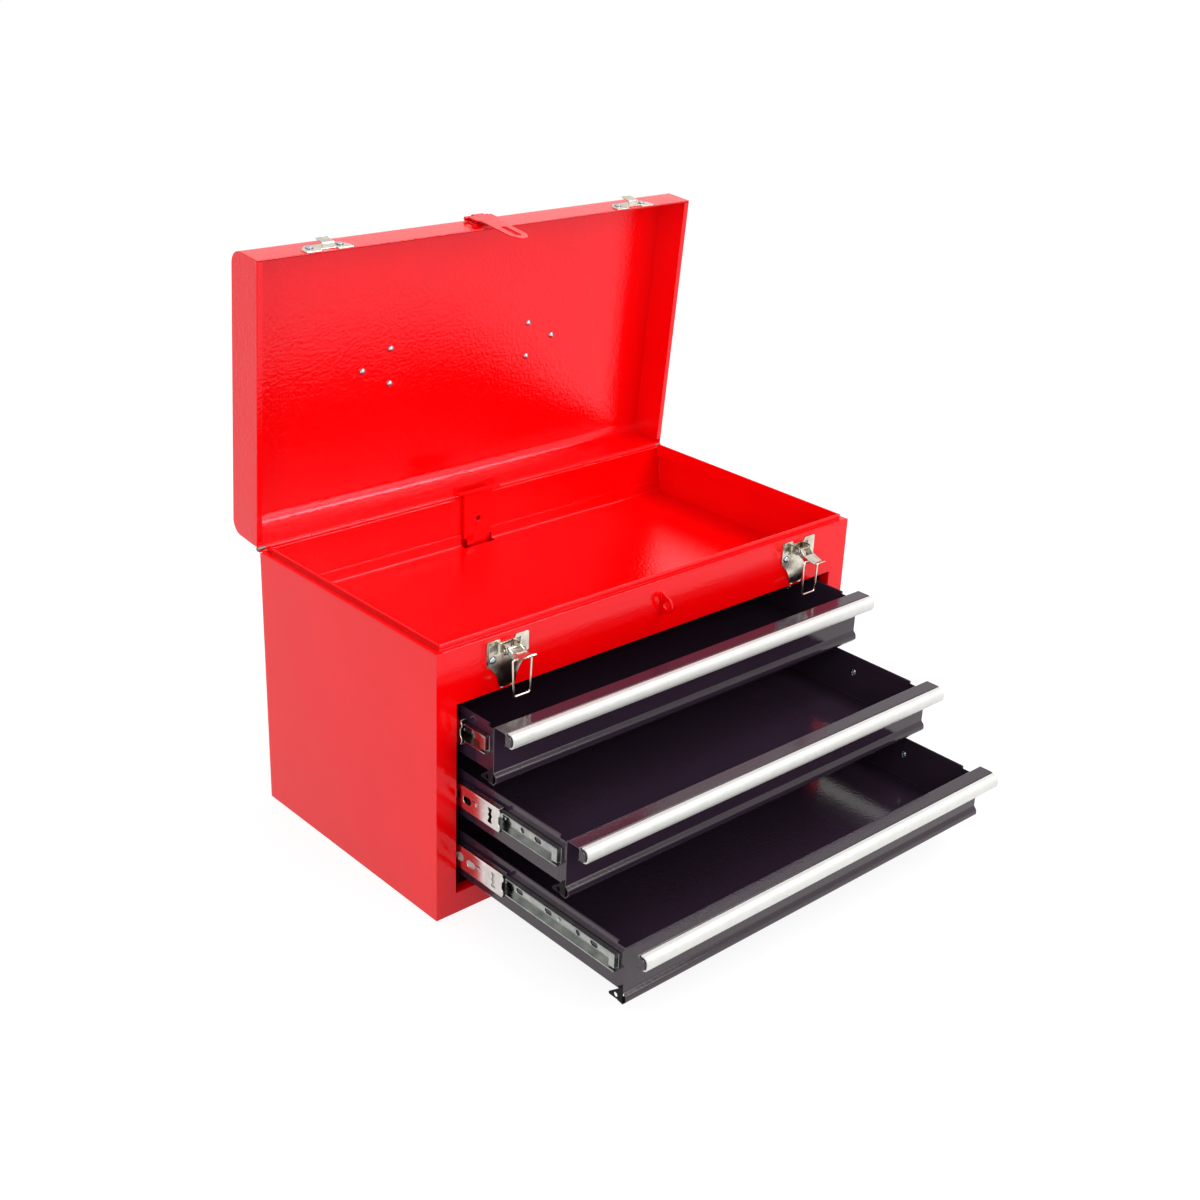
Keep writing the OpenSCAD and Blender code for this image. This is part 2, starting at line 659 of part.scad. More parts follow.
// ---------- drawers ----------
// Pan: floor, two sides with hemmed tops, and a back, folded from one sheet.
module drawer_pan(k) color(black) on_drawer(k) {
    floor_z = front_foot(k) + pan_rise;
    side_top = front_top(k) - pan_drop;
    difference() {
        union() {
            translate([0, (pan_front + pan_back) / 2, 0]) along_y(pan_back - pan_front)
                bent_sheet([[-pan_half + 2, side_top - sheet / 2], [-pan_half + sheet / 2, side_top - sheet / 2],
                            [-pan_half + sheet / 2, floor_z + sheet / 2], [pan_half - sheet / 2, floor_z + sheet / 2],
                            [pan_half - sheet / 2, side_top - sheet / 2], [pan_half - 2, side_top - sheet / 2]],
                           sheet, bend, 3);
            block([-pan_half + sheet - sliver, pan_back - sheet, floor_z + sheet - sliver],
                  [pan_half - sheet + sliver, pan_back, side_top]);
        }
        both_sides() block([pan_half - 4, pan_front - 1, side_top - 3], [pan_half + 1, pan_front + 14, side_top + 1]);
        both_sides() for (y = screw_setbacks) translate([0, 0, slide_z(k)]) screw_shank(front_y + y, 1.8);
    }
    // Tongue lanced from the back, for the lock hook.
    lip_z = side_top - 10;
    block([lock_x - 8, pan_back - sliver, lip_z - sheet], [lock_x + 8, catch_lip_y + sheet, lip_z]);
    block([lock_x - 8, catch_lip_y, lip_z - sheet], [lock_x + 8, catch_lip_y + sheet, lip_z + 3]);
}

module drawer_pan_1() drawer_pan(1);
module drawer_pan_2() drawer_pan(2);
module drawer_pan_3() drawer_pan(3);

// Half round outline that faces forward, d inside the strip's own outer face, from bend angle a0 to a1.
function nose_curve(k, d, a0, a1, n) =
    let (deep = nose_roundness - d, high = strip_height / 2 - d,
         y = front_y - nose_depth + nose_roundness, z = strip_foot(k) + strip_height / 2)
    [for (i = [0:n]) let (a = a0 + (a1 - a0) * i / n)
        [y - deep * pow(abs(cos(a)), 0.7), z + high * sign(sin(a)) * pow(abs(sin(a)), 0.85)]];

// Front: kicked foot, upright web, flat top flange and a rolled nose inside the pull strip.
module drawer_front(k) color(black) on_drawer(k) {
    foot = front_foot(k);
    top = front_top(k) - sheet / 2;
    web = front_y + sheet / 2;
    nose_inset = strip_wall + part_gap + sheet / 2;
    flange_end = front_y - front_flange;
    along_x(2 * front_half)
        bent_sheet(concat([[web + 6, foot + sheet / 2 + 1], [web, foot + sheet / 2],
                           [web - kick_depth, foot + kick_height * 0.55], [web, foot + kick_height], [web, top],
                           [flange_end + 0.6, top], [flange_end - 0.9, front_top(k) - nose_inset]],
                          nose_curve(k, nose_inset, 76, -90, 9),
                          [[flange_end + 1, strip_foot(k) + nose_inset]]), sheet, 1, 2);
    both_sides() difference() {
        translate([front_half - sheet / 2, 0, 0]) along_x(sheet)
            polygon([[front_y + sheet - sliver, foot + gusset_foot], [front_y + gusset_depth, foot + gusset_foot],
                     [front_y + sheet - sliver, foot + gusset_top]]);
        rod_x(front_half - 3, front_half + 1, front_y + gusset_hole[0], foot + gusset_hole[1], gusset_hole_r, 24);
    }
}

module drawer_front_1() drawer_front(1);
module drawer_front_2() drawer_front(2);
module drawer_front_3() drawer_front(3);

// Satin aluminium strip with a bulged face, clipped over the nose.
module pull_strip(k) color(silver) on_drawer(k) {
    lip = front_y - front_flange;
    foot = strip_foot(k);
    top = foot + strip_height;
    along_x(2 * front_half - 4)
        polygon(concat([[lip - 1, top]], nose_curve(k, 0, 90, -90, 16), [[lip - 1, foot], [lip - 1, foot + strip_wall]],
                       nose_curve(k, strip_wall, -90, 90, 16), [[lip - 1, top - strip_wall]]));
}

module pull_strip_1() pull_strip(1);
module pull_strip_2() pull_strip(2);
module pull_strip_3() pull_strip(3);

module screw_shank(y, r) rod_x(pan_half - 3, pan_half + 2.6, y, 0, r, 24);

// Two screws on each side hold the pan to its slides.
module drawer_screws(k) color(zinc) on_drawer(k) both_sides() for (y = screw_setbacks)
    translate([0, 0, slide_z(k)]) {
        rod_x(pan_half - sheet - 0.6, pan_half + 2, front_y + y, 0, 1.75, 24);
        rod_x(pan_half - sheet - 1.6, pan_half - sheet, front_y + y, 0, 3.6, 32);
    }

module drawer_screws_1() drawer_screws(1);
module drawer_screws_2() drawer_screws(2);
module drawer_screws_3() drawer_screws(3);

// ---------- lid ----------
function lid_profile(inset) =
    let (r = lid_edge - inset, n = 8,
         f = lid_front + lid_edge, b = back_y - lid_edge, t = lid_top - lid_edge)
    concat([[lid_front + inset, hinge_z]],
           [for (i = [0:n]) [f - r * cos(90 * i / n), t + r * sin(90 * i / n)]],
           [for (i = [0:n]) [b + r * sin(90 * i / n), t + r * cos(90 * i / n)]],
           [[back_y - inset, hinge_z]]);

// Front, top and rear of the lid from one sheet, hemmed along the front rim.
module lid_shell() color(red) on_open_lid() {
    difference() {
        along_x(2 * lid_skin)
            polygon(concat(lid_profile(0), reversed(lid_profile(sheet))));
        rivet_holes(catch_rivets, lid_front, latch_rivet_r);
        rivet_holes(hasp_rivets, lid_front, hasp_rivet_r);
        both_sides() for (p = handle_rivets_at)
            translate([p[0], handle_y + p[1], lid_top - 4]) cylinder(h = 6, r = 2.2, $fn = 24);
    }
    block([-lid_skin, lid_front + sheet - sliver, hinge_z], [lid_skin, lid_front + 2 * sheet, hinge_z + lid_hem]);
    block([lock_x - lock_bar_width / 2, back_y - 9, hinge_z + 1], [lock_x + lock_bar_width / 2, back_inner, hinge_z + 2]);
}

// Flat end of the lid, with a flange folded in along its rim.
module lid_end() {
    translate([lid_half - sheet / 2, 0, 0]) along_x(sheet) polygon(lid_profile(0));
    block([lid_skin - lid_end_flange, lid_front + 2 * sheet, hinge_z],
          [lid_skin + sliver, back_inner - 3.5, hinge_z + sheet]);
}

module lid_end_left() color(red) on_open_lid() mirror([1, 0, 0]) lid_end();
module lid_end_right() color(red) on_open_lid() lid_end();

// Upper leaf of the piano hinge, with two tails that meet the back of the case as the lid reaches its stop.
module hinge_leaf_lid() color(red) on_open_lid() {
    difference() {
        union() {
            knuckle_row(1);
            knuckle_tabs(1, hinge_z, hinge_z + knuckle_r + part_gap + sliver);
            block([-half_w, back_y, hinge_z + knuckle_r + part_gap], [half_w, back_y + leaf_sheet, hinge_z + leaf_height]);
            for (i = stop_knuckles) stop_tail(i);
        }
        pin_hole();
    }
}

module stop_tail(i) {
    middle = -half_w + (i + 0.5) * knuckle_length;
    tail_y = back_y + part_gap - hinge_y;
    translate([middle, hinge_y, hinge_z]) rotate([lid_open, 0, 0])
        block([-stop_width / 2, tail_y, -stop_length], [stop_width / 2, tail_y + 0.8, 0]);
}

// Catch: a plate riveted to the lid's front. A tongue of its lower edge is folded out and up to hook the bail.
module lid_catch(side) color(nickel) on_open_lid() translate([side * latch_x, 0, 0]) {
    half = catch_width / 2;
    top = catch_foot + catch_height;
    face = lid_front - latch_plate / 2;
    toe = cross_bar - (bail_r + part_gap + 0.5) * [1, 1];
    right_edge = [[9, catch_foot + 4], [9, catch_foot], [half, catch_foot], [half, catch_foot + 9],
                  [half - 7, top]];
    difference() {
        translate([0, face, 0]) along_y(latch_plate)
            polygon(concat(right_edge, [for (p = reversed(right_edge)) [-p[0], p[1]]]));
        rivet_holes([[-catch_rivet_x, catch_rivet_z], [catch_rivet_x, catch_rivet_z]], lid_front, latch_rivet_r);
    }
    along_x(2 * hook_half) bent_sheet([[face, toe[1]], toe, toe + [-1.2, 11.5], toe + [-3.4, 14]], 1, 1.2, 3);
}

module catch_left() lid_catch(-1);
module catch_right() lid_catch(1);

module lid_front_rivets() color(zinc) on_open_lid() {
    for (p = catch_rivets) rivet_y(p[0], lid_front - latch_plate, p[1], latch_rivet_r, latch_plate + sheet);
    for (p = hasp_rivets) rivet_y(p[0], lid_front - hasp_sheet, p[1], hasp_rivet_r, hasp_sheet + sheet);
}

// Fixed leaf of the hasp, with its two knuckles.
module hasp_leaf() color(red) on_open_lid() difference() {
    union() {
        block([-hasp_width / 2, lid_front - hasp_sheet, hasp_leaf_foot],
              [hasp_width / 2, lid_front, hasp_z]);
        for (x = [-hasp_width / 2, hasp_width / 2 - 7])
            rod_x(x, x + 7, hasp_y, hasp_z, hasp_roll_r, 32);
    }
    rod_x(-hasp_width, hasp_width, hasp_y, hasp_z, hasp_pin_r + running, 32);
    rivet_holes(hasp_rivets, lid_front, hasp_rivet_r);
    block([-hasp_width / 2 + 6.6, lid_front - 6, hasp_z - hasp_roll_r - 0.5],
          [hasp_width / 2 - 6.6, lid_front + 1, hasp_z + 6]);
}

module hasp_pin() color(red) on_open_lid()
    rod_x(-hasp_width / 2, hasp_width / 2, hasp_y, hasp_z, hasp_pin_r, 32);

// Hinged tongue with its slot for the staple. It hangs in towards the rim of the lid.
module hasp_tongue() color(red) on_open_lid() translate([0, hasp_y, hasp_z]) rotate([hasp_lean, 0, 0])
    translate([0, -hasp_y, -hasp_z]) {
    foot = hasp_z - hasp_length;
    plate_y = tongue_back - hasp_sheet / 2;
    root_half = hasp_width / 2 - 7.4;
    half = tongue_width / 2;
    wide = hasp_width / 2;
    knee = hasp_z - 5;
    step = hinge_z + 9;
    right_edge = [[root_half, knee + 2], [root_half, knee], [wide, knee], [wide, step + 3], [half, step],
                  [half, foot + 9], [half - 6, foot]];
    difference() {
        union() {
            translate([0, plate_y, 0]) along_y(hasp_sheet)
                polygon(concat(right_edge, [for (p = reversed(right_edge)) [-p[0], p[1]]]));
            rod_x(-root_half, root_half, hasp_y, hasp_z, hasp_roll_r, 32);
            along_x(2 * root_half)
                bent_sheet([[plate_y, knee], [plate_y, hasp_z - 1], [hasp_y - 1.4, hasp_z + 0.6]], hasp_sheet, 0.6, 2);
        }
        rod_x(-hasp_width, hasp_width, hasp_y, hasp_z, hasp_pin_r + running, 32);
        block([-slot_width / 2, tongue_back - 4, slot_foot + slot_width / 2],
              [slot_width / 2, tongue_back + 1, slot_top - slot_width / 2]);
        for (z = [slot_foot + slot_width / 2, slot_top - slot_width / 2])
            translate([0, tongue_back, z]) rotate([90, 0, 0]) cylinder(h = 9, d = slot_width, center = true, $fn = 32);
    }
}

// ---------- handle ----------
// Pressed bracket: a five sided plate with a loop for the handle's end.
module handle_bracket(side) color(nickel) on_open_lid() scale([side, 1, 1]) difference() {
    union() {
        translate([0, 0, lid_top]) linear_extrude(bracket_sheet)
            polygon([[handle_half - 8, handle_y - 25], [handle_half + 10, handle_y - 25],
                     [handle_half + 38, handle_y - 7], [handle_half + 38, handle_y + 7],
                     [handle_half + 10, handle_y + 25], [handle_half - 8, handle_y + 25]]);
        rod_x(bracket_inner, bracket_outer, handle_y, handle_pivot_z, bracket_loop_r, 40);
        block([bracket_inner, handle_y - bracket_loop_r, lid_top],
              [bracket_outer, handle_y + bracket_loop_r, handle_pivot_z]);
    }
    rod_x(bracket_inner - 1, bracket_outer + 1, handle_y, handle_pivot_z, handle_rod / 2 + running, 40);
    for (p = handle_rivets_at)
        translate([p[0], handle_y + p[1], lid_top - 1]) cylinder(h = 4, r = 2.2, $fn = 24);
}

module handle_bracket_left() handle_bracket(-1);
module handle_bracket_right() handle_bracket(1);

// Rivets through the bracket and the lid, with domed heads inside the lid.
module handle_rivets() color(zinc) on_open_lid() both_sides() for (p = handle_rivets_at)
    translate([p[0], handle_y + p[1], lid_top]) {
        translate([0, 0, -sheet]) cylinder(h = sheet + bracket_sheet, r = 2.1, $fn = 24);
        translate([0, 0, bracket_sheet]) cylinder(h = 1, r = 3.4, $fn = 32);
        intersection() {
            translate([0, 0, 1.2 - sheet]) sphere(r = 3.8, $fn = 32);
            translate([-4, -4, -sheet - 4]) cube([8, 8, 4]);
        }
    }

// The handle hangs against the outside of the raised lid.
module on_hanging_handle() translate([0, handle_y, handle_pivot_z]) rotate([-handle_lean, 0, 0])
    translate([0, -handle_y, -handle_pivot_z]) children();

module handle_rod_bent() color(nickel) on_open_lid() on_hanging_handle() {
    r = handle_rod / 2;
    y = handle_y + handle_reach;
    both_sides() {
        bar([handle_half, handle_y, handle_pivot_z], [bracket_outer + 1.5, handle_y, handle_pivot_z], r, 32);
        translate([handle_half, handle_y, handle_pivot_z]) sphere(r = r + joint_fillet, $fn = 32);
        bar([handle_half, handle_y, handle_pivot_z], [handle_half, y, handle_pivot_z], r, 32);
        translate([handle_half, y, handle_pivot_z]) sphere(r = r + joint_fillet, $fn = 32);
    }
    bar([-handle_half, y, handle_pivot_z], [handle_half, y, handle_pivot_z], r, 32);
}

module handle_grip() color(black) on_open_lid() on_hanging_handle()
    translate([0, handle_y + handle_reach, handle_pivot_z]) rotate([0, 90, 0]) difference() {
        cylinder(h = handle_span - 34, d = grip_d, center = true, $fn = 48);
        cylinder(h = handle_span, r = handle_rod / 2, center = true, $fn = 32);
    }

// ---------- lid lock ----------
lock_guides = [floor_top + 22, front_foot(1) + 12, front_foot(3) + 20];

// Plate on the back wall that the lid pushes down; its hooks then hold the drawers shut.
module lock_plate() color(red) translate([lock_x, 0, 0]) {
    half = lock_width / 2;
    difference() {
        union() {
            block([-half, lock_front, floor_top + 8], [half, lock_front + sheet, lock_top]);
            both_sides() block([half - sheet, lock_front, floor_top + 8], [half, lock_back, lock_top]);
            block([-strip_half_width, lock_front, lock_foot], [strip_half_width, lock_front + sheet, floor_top + 9]);
            block([-lock_bar_width / 2, lock_front - 3, lock_top - 1], [lock_bar_width / 2, lock_back, lock_top]);
        }
        for (z = lock_guides)
            block([-2.4, lock_front - 1, z - 2.4], [2.4, lock_front + 2, z + lock_stroke + 2.4]);
    }
    for (k = [1:3]) lock_hook(front_top(k) - pan_drop - 10);
}

// Hook above a drawer's tongue: it drops behind the lip when the lid closes.
module lock_hook(lip_z) {
    reach = pan_back + 1.2;
    z = lip_z + 3 + 0.8 + lock_stroke;
    block([-6, reach, z + 2.4], [6, lock_front + sliver, z + 3.4]);
    block([-6, reach, z - 3], [6, reach + 1, z + 3.4]);
}

case_wrap();
bottom_pan();
front_frame();
tray_floor();
slide_posts();
hinge_leaf_case();
hinge_pin();
padlock_staple();
latch_base_left();
latch_base_right();
latch_pins();
case_rivets();
case_slides_1();
case_slides_2();
case_slides_3();
slide_rivets();
lock_plate();
lid_shell();
lid_end_left();
lid_end_right();
hinge_leaf_lid();
catch_left();
catch_right();
lid_front_rivets();
handle_bracket_left();
handle_bracket_right();
handle_rivets();
hasp_leaf();
hasp_pin();
hasp_tongue();
handle_rod_bent();
handle_grip();
lever_left();
lever_right();
bail_left();
bail_right();
drawer_pan_1();
drawer_front_1();
pull_strip_1();
drawer_slides_1();
drawer_screws_1();
drawer_pan_2();
drawer_front_2();
pull_strip_2();
drawer_slides_2();
drawer_screws_2();
drawer_pan_3();
drawer_front_3();
pull_strip_3();
drawer_slides_3();
drawer_screws_3();
middle_slides_1();
middle_slides_2();
middle_slides_3();
outer_cages_1();
outer_cages_2();
outer_cages_3();
inner_cages_1();
inner_cages_2();
inner_cages_3();
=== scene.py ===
import json

import bpy
import numpy as np
from mathutils import Matrix, Vector
from mathutils.geometry import tessellate_polygon

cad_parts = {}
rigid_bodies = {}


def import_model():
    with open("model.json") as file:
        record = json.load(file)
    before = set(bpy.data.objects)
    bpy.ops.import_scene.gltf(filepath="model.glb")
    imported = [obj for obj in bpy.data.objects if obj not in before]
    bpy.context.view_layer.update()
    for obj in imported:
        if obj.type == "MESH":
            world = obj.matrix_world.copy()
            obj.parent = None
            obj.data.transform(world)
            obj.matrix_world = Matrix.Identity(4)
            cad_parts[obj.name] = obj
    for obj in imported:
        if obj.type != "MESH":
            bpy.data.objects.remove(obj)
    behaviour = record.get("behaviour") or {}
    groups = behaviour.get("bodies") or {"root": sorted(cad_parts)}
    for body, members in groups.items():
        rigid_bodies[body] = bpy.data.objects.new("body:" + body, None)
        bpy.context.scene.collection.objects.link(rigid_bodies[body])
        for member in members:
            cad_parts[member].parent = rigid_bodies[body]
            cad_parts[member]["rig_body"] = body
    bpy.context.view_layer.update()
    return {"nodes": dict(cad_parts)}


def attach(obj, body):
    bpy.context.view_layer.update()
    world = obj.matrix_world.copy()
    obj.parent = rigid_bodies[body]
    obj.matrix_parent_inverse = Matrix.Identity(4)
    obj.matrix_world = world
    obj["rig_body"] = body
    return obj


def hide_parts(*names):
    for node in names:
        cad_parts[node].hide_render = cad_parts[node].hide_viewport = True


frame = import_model()

# Camera ------
# A 50 mm lens to the front left of the chest and above its open lid. It looks down at the
# front rim of the tray, a little left of the middle, and is tilted by 2.5 degrees.
def placed(name, data):
    """A new object in the scene, made of the data."""
    made = bpy.data.objects.new(name, data)
    bpy.context.scene.collection.objects.link(made)
    return made


camera = placed("camera", bpy.data.cameras.new("camera"))
camera.data.lens, camera.data.sensor_width, camera.data.clip_end = 50.18, 36.0, 30
place, aim, tilt = Vector((-1.00338, -1.13596, 0.87708)), Vector((-0.07373, -0.13258, 0.26148)), 2.4624
turn = (aim - place).to_track_quat("-Z", "Y").to_matrix() @ Matrix.Rotation(np.radians(tilt), 3, "Z")
camera.matrix_world = Matrix.Translation(place) @ turn.to_4x4()
bpy.context.scene.camera = camera
bpy.context.scene.view_settings.view_transform = "Standard"


# Light and floor ------
# A white room with soft lamps to the left, in front and above. Camera, gloss and glass rays
# see plain white, and the floor keeps the chest's own shadow.
def seen_white(nodes, links, plain, white):
    """Mixes two shaders: plain lights the chest, white is what camera, gloss and glass rays see."""
    path = nodes.new("ShaderNodeLightPath")
    either, seen = nodes.new("ShaderNodeMath"), nodes.new("ShaderNodeMath")
    either.operation = seen.operation = "ADD"
    seen.use_clamp = True
    links.new(path.outputs["Is Camera Ray"], either.inputs[0])
    links.new(path.outputs["Is Glossy Ray"], either.inputs[1])
    links.new(either.outputs[0], seen.inputs[0])
    links.new(path.outputs["Is Transmission Ray"], seen.inputs[1])
    mix = nodes.new("ShaderNodeMixShader")
    links.new(seen.outputs[0], mix.inputs[0])
    links.new(plain, mix.inputs[1])
    links.new(white, mix.inputs[2])
    return mix.outputs[0]


def finish(name, colour, metallic=0.0, roughness=0.3):
    """A Principled surface, with the values that are the same all over on the shader's own sockets."""
    material = bpy.data.materials.new(name)
    material.use_nodes = True
    nodes, links = material.node_tree.nodes, material.node_tree.links
    shader = nodes["Principled BSDF"]
    shader.inputs["Base Color"].default_value = (*colour, 1)
    shader.inputs["Metallic"].default_value = metallic
    shader.inputs["Roughness"].default_value = roughness
    return material, nodes, links, shader


world = bpy.data.worlds.new("white_room")
bpy.context.scene.world = world
world.use_nodes = True
nodes, links = world.node_tree.nodes, world.node_tree.links
plain, white = nodes["Background"], nodes.new("ShaderNodeBackground")
for light, strength in ((plain, 0.66), (white, 1.0)):
    light.inputs[0].default_value, light.inputs[1].default_value = (1, 1, 1, 1), strength
links.new(seen_white(nodes, links, plain.outputs[0], white.outputs[0]), nodes["World Output"].inputs[0])

paper, nodes, links, matt = finish("floor_paper", (0.82, 0.82, 0.82), roughness=0.9)
matt.inputs["Specular IOR Level"].default_value = 0.1
shade, glow, lit = (nodes.new(f"ShaderNode{kind}") for kind in ("BsdfDiffuse", "Emission", "AddShader"))
shade.inputs[0].default_value, glow.inputs[1].default_value = (0.26, 0.26, 0.26, 1), 0.84
links.new(shade.outputs[0], lit.inputs[0])
links.new(glow.outputs[0], lit.inputs[1])
links.new(seen_white(nodes, links, matt.outputs[0], lit.outputs[0]), nodes["Material Output"].inputs[0])
reach, level, square = 14, -0.0004, ((-1, -1), (1, -1), (1, 1), (-1, 1))
mesh = bpy.data.meshes.new("floor")
mesh.from_pydata([(reach * x, reach * y, level) for x, y in square], [], [(0, 1, 2, 3)])
mesh.materials.append(paper)
floor = placed("floor", mesh)

lamps = (("lamp_left", (-2.4, -1.2, 1.5), 1.8, 24), ("lamp_front", (0.9, -2.8, 1.7), 1.8, 34),
         ("lamp_top", (1.1, -0.6, 2.3), 1.0, 24))
for name, place, size, power in lamps:
    data = bpy.data.lights.new(name, "AREA")
    data.shape, data.size, data.energy = "SQUARE", size, power
    lamp = placed(name, data)
    lamp.location = place
    lamp.rotation_euler = (Vector((0, -0.05, 0.25)) - Vector(place)).to_track_quat("-Z", "Y").to_euler()


# Case walls ------
# Both sides and the back are one strip of 0.8 mm steel, bent round the rear corners. The top
# edge of each side turns in to a shoulder and up to a folded rim. The enamel is dipped and
# stoved, so it flows to a slight orange peel.
def noise(nodes, links, scale, detail=2.0, stretch=(1, 1, 1)):
    """Noise over the piece's own coordinates: scale features to the metre, stretched along the axes."""
    where, mapping = nodes.new("ShaderNodeTexCoord"), nodes.new("ShaderNodeMapping")
    mapping.inputs["Scale"].default_value = stretch
    texture = nodes.new("ShaderNodeTexNoise")
    texture.inputs["Scale"].default_value = scale
    texture.inputs["Detail"].default_value = detail
    links.new(where.outputs["Object"], mapping.inputs[0])
    links.new(mapping.outputs[0], texture.inputs["Vector"])
    return texture.outputs["Fac"]


def ranged(nodes, links, value, low, high, start=0.3, end=0.7):
    """Maps a value from start..end to low..high."""
    span = nodes.new("ShaderNodeMapRange")
    for i, x in enumerate((start, end, low, high)):
        span.inputs[i + 1].default_value = x
    links.new(value, span.inputs[0])
    return span.outputs[0]


def tinted(nodes, links, shader, value, a, b, deep):
    """Base colour that goes from a to b with the value, and to the deep colour with the piece's painted
    shade: darkening laid into the colour where shade falls or dark things would be mirrored.
    """
    mix, over = nodes.new("ShaderNodeMix"), nodes.new("ShaderNodeMix")
    mix.data_type = over.data_type = "RGBA"
    mix.inputs[6].default_value, mix.inputs[7].default_value = (*a, 1), (*b, 1)
    links.new(value, mix.inputs[0])
    held = nodes.new("ShaderNodeAttribute")
    held.attribute_name = "painted_shade"
    over.inputs[7].default_value = (*deep, 1)
    links.new(held.outputs["Fac"], over.inputs[0])
    links.new(mix.outputs[2], over.inputs[6])
    links.new(over.outputs[2], shader.inputs["Base Color"])


def bumped(nodes, links, shader, *layers):
    """Heights laid on each other: each layer is (height, depth in metres)."""
    before = None
    for height, depth in layers:
        bump = nodes.new("ShaderNodeBump")
        bump.inputs["Distance"].default_value = depth
        links.new(height, bump.inputs["Height"])
        if before:
            links.new(before, bump.inputs["Normal"])
        before = bump.outputs[0]
    links.new(before, shader.inputs["Normal"])


def enamel(name, colour, thin, peel, wave, roughness, gloss, tint=(0.92, 0.80, 1)):
    """Stoving enamel: it thins out a little in patches, has orange peel of 2 to 3 mm and lies on wavy sheet.
    Peel and wave are depths in metres."""
    material, nodes, links, shader = finish(name, colour, roughness=roughness)
    shader.inputs["Specular IOR Level"].default_value = gloss
    shader.inputs["Specular Tint"].default_value = (*tint, 1)
    # The deep colour, 0.42 of the enamel's own, is painted shade, laid where the piece's painted shade says.
    tinted(nodes, links, shader, ranged(nodes, links, noise(nodes, links, 9, 3), 0, 1), colour, thin,
           tuple(0.42 * c for c in colour))
    links.new(ranged(nodes, links, noise(nodes, links, 60, 4), roughness, roughness + 0.04),
              shader.inputs["Roughness"])
    bumped(nodes, links, shader, (noise(nodes, links, 11, 1), wave), (noise(nodes, links, 320, 3), peel))
    return material


def rounded(points, radius, steps=6, closed=False):
    """A line whose corners are arcs: the first tangent point turned about the centre in equal angles."""
    p = np.asarray(points, float)
    radii = np.broadcast_to(radius, len(p))
    out = []
    for i, r in enumerate(radii):
        if r <= 0 or (not closed and i in (0, len(p) - 1)):
            out.append(p[i:i + 1])
            continue
        a, b = p[i - 1] - p[i], p[(i + 1) % len(p)] - p[i]
        a_long, b_long = np.linalg.norm(a), np.linalg.norm(b)
        a, b = a / a_long, b / b_long
        half_angle = np.arccos(np.clip(a @ b, -1, 1)) / 2
        if half_angle > 1.56:
            out.append(p[i:i + 1])
            continue
        away = min(r / np.tan(half_angle), 0.498 * a_long, 0.498 * b_long)
        centre = p[i] + (a + b) / np.linalg.norm(a + b) * away / np.cos(half_angle)
        s, e, bend = p[i] + a * away - centre, p[i] + b * away - centre, np.pi - 2 * half_angle
        t = np.linspace(0, 1, steps + 1)[:, None]
        out.append(centre + (s * np.sin((1 - t) * bend) + e * np.sin(t * bend)) / np.sin(bend))
    return np.concatenate(out)


def normals(line, closed=False):
    """Left-hand normals of a line, stretched at each corner so that both sides keep their distance."""
    if closed:
        before = line - np.roll(line, 1, 0)
        before /= np.linalg.norm(before, axis=1, keepdims=True)
        after = np.roll(before, -1, 0)
    else:
        along = np.diff(line, axis=0)
        along /= np.linalg.norm(along, axis=1, keepdims=True)
        before, after = np.vstack([along[:1], along]), np.vstack([along, along[-1:]])
    left = before[:, ::-1] * (-1, 1)
    mean = left + after[:, ::-1] * (-1, 1)
    return mean / np.maximum((mean * left).sum(1, keepdims=True), 0.3)


def ribbon(line, thick):
    """Outline of a bent sheet: its centre line moved half the thickness to each side, with blunt ends."""
    side = normals(line) * thick / 2
    first, last = line[0] - line[1], line[-1] - line[-2]
    tips = [line[0] + first / np.linalg.norm(first) * thick / 4,
            line[-1] + last / np.linalg.norm(last) * thick / 4]
    return np.concatenate([line + side, tips[1:], (line - side)[::-1], tips[:1]])


def spread(flat, depth, axes):
    """Carries points (u, v) at depth w to x, y, z: axes says which of u, v and w each of them is."""
    flat = np.asarray(flat, float)
    named = {"u": flat[..., 0], "v": flat[..., 1], "w": np.broadcast_to(depth, flat.shape[:-1])}
    return np.stack([named[a] for a in axes], -1)


def loft(rings, capped=True):
    """Skin over closed rings, rows x columns x 3: four neighbours make a face, flat ends close it."""
    i = np.arange(rings.shape[0] * rings.shape[1]).reshape(rings.shape[:2])
    j = np.roll(i, -1, 1)
    faces = np.stack([i[:-1], j[:-1], j[1:], i[1:]], -1).reshape(-1, 4).tolist()
    if capped:
        faces += [i[0][::-1].tolist(), i[-1].tolist()]
    return rings.reshape(-1, 3), faces


def prism(full, thin, start, end, axes, soften):
    """Four rings of a prism: the full outline, and at both ends the thin one, the softening further out."""
    s = soften * np.sign(end - start)
    rows = ((thin, start), (full, start + s), (full, end - s), (thin, end))
    return np.stack([spread(outline, w, axes) for outline, w in rows])


def folded(line, thick, start, end, axes, soften=0.15):
    """A folded strip of sheet: the ribbon's outline from start to end, a little thinner at its very ends."""
    stack = prism(ribbon(line, thick), ribbon(line, thick - 2 * soften), start, end, axes, soften)
    return loft(stack if soften else stack[::3])


def shown(name, points, faces, material, body, nodes):
    """One smooth mesh in metres with its material, tied to its body, with its CAD nodes hidden."""
    mesh = bpy.data.meshes.new(name)
    mesh.from_pydata(points.tolist(), [], faces)
    mesh.shade_smooth()
    mesh.materials.append(material)
    made = placed(name, mesh)
    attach(made, body)
    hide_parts(*nodes)
    return made


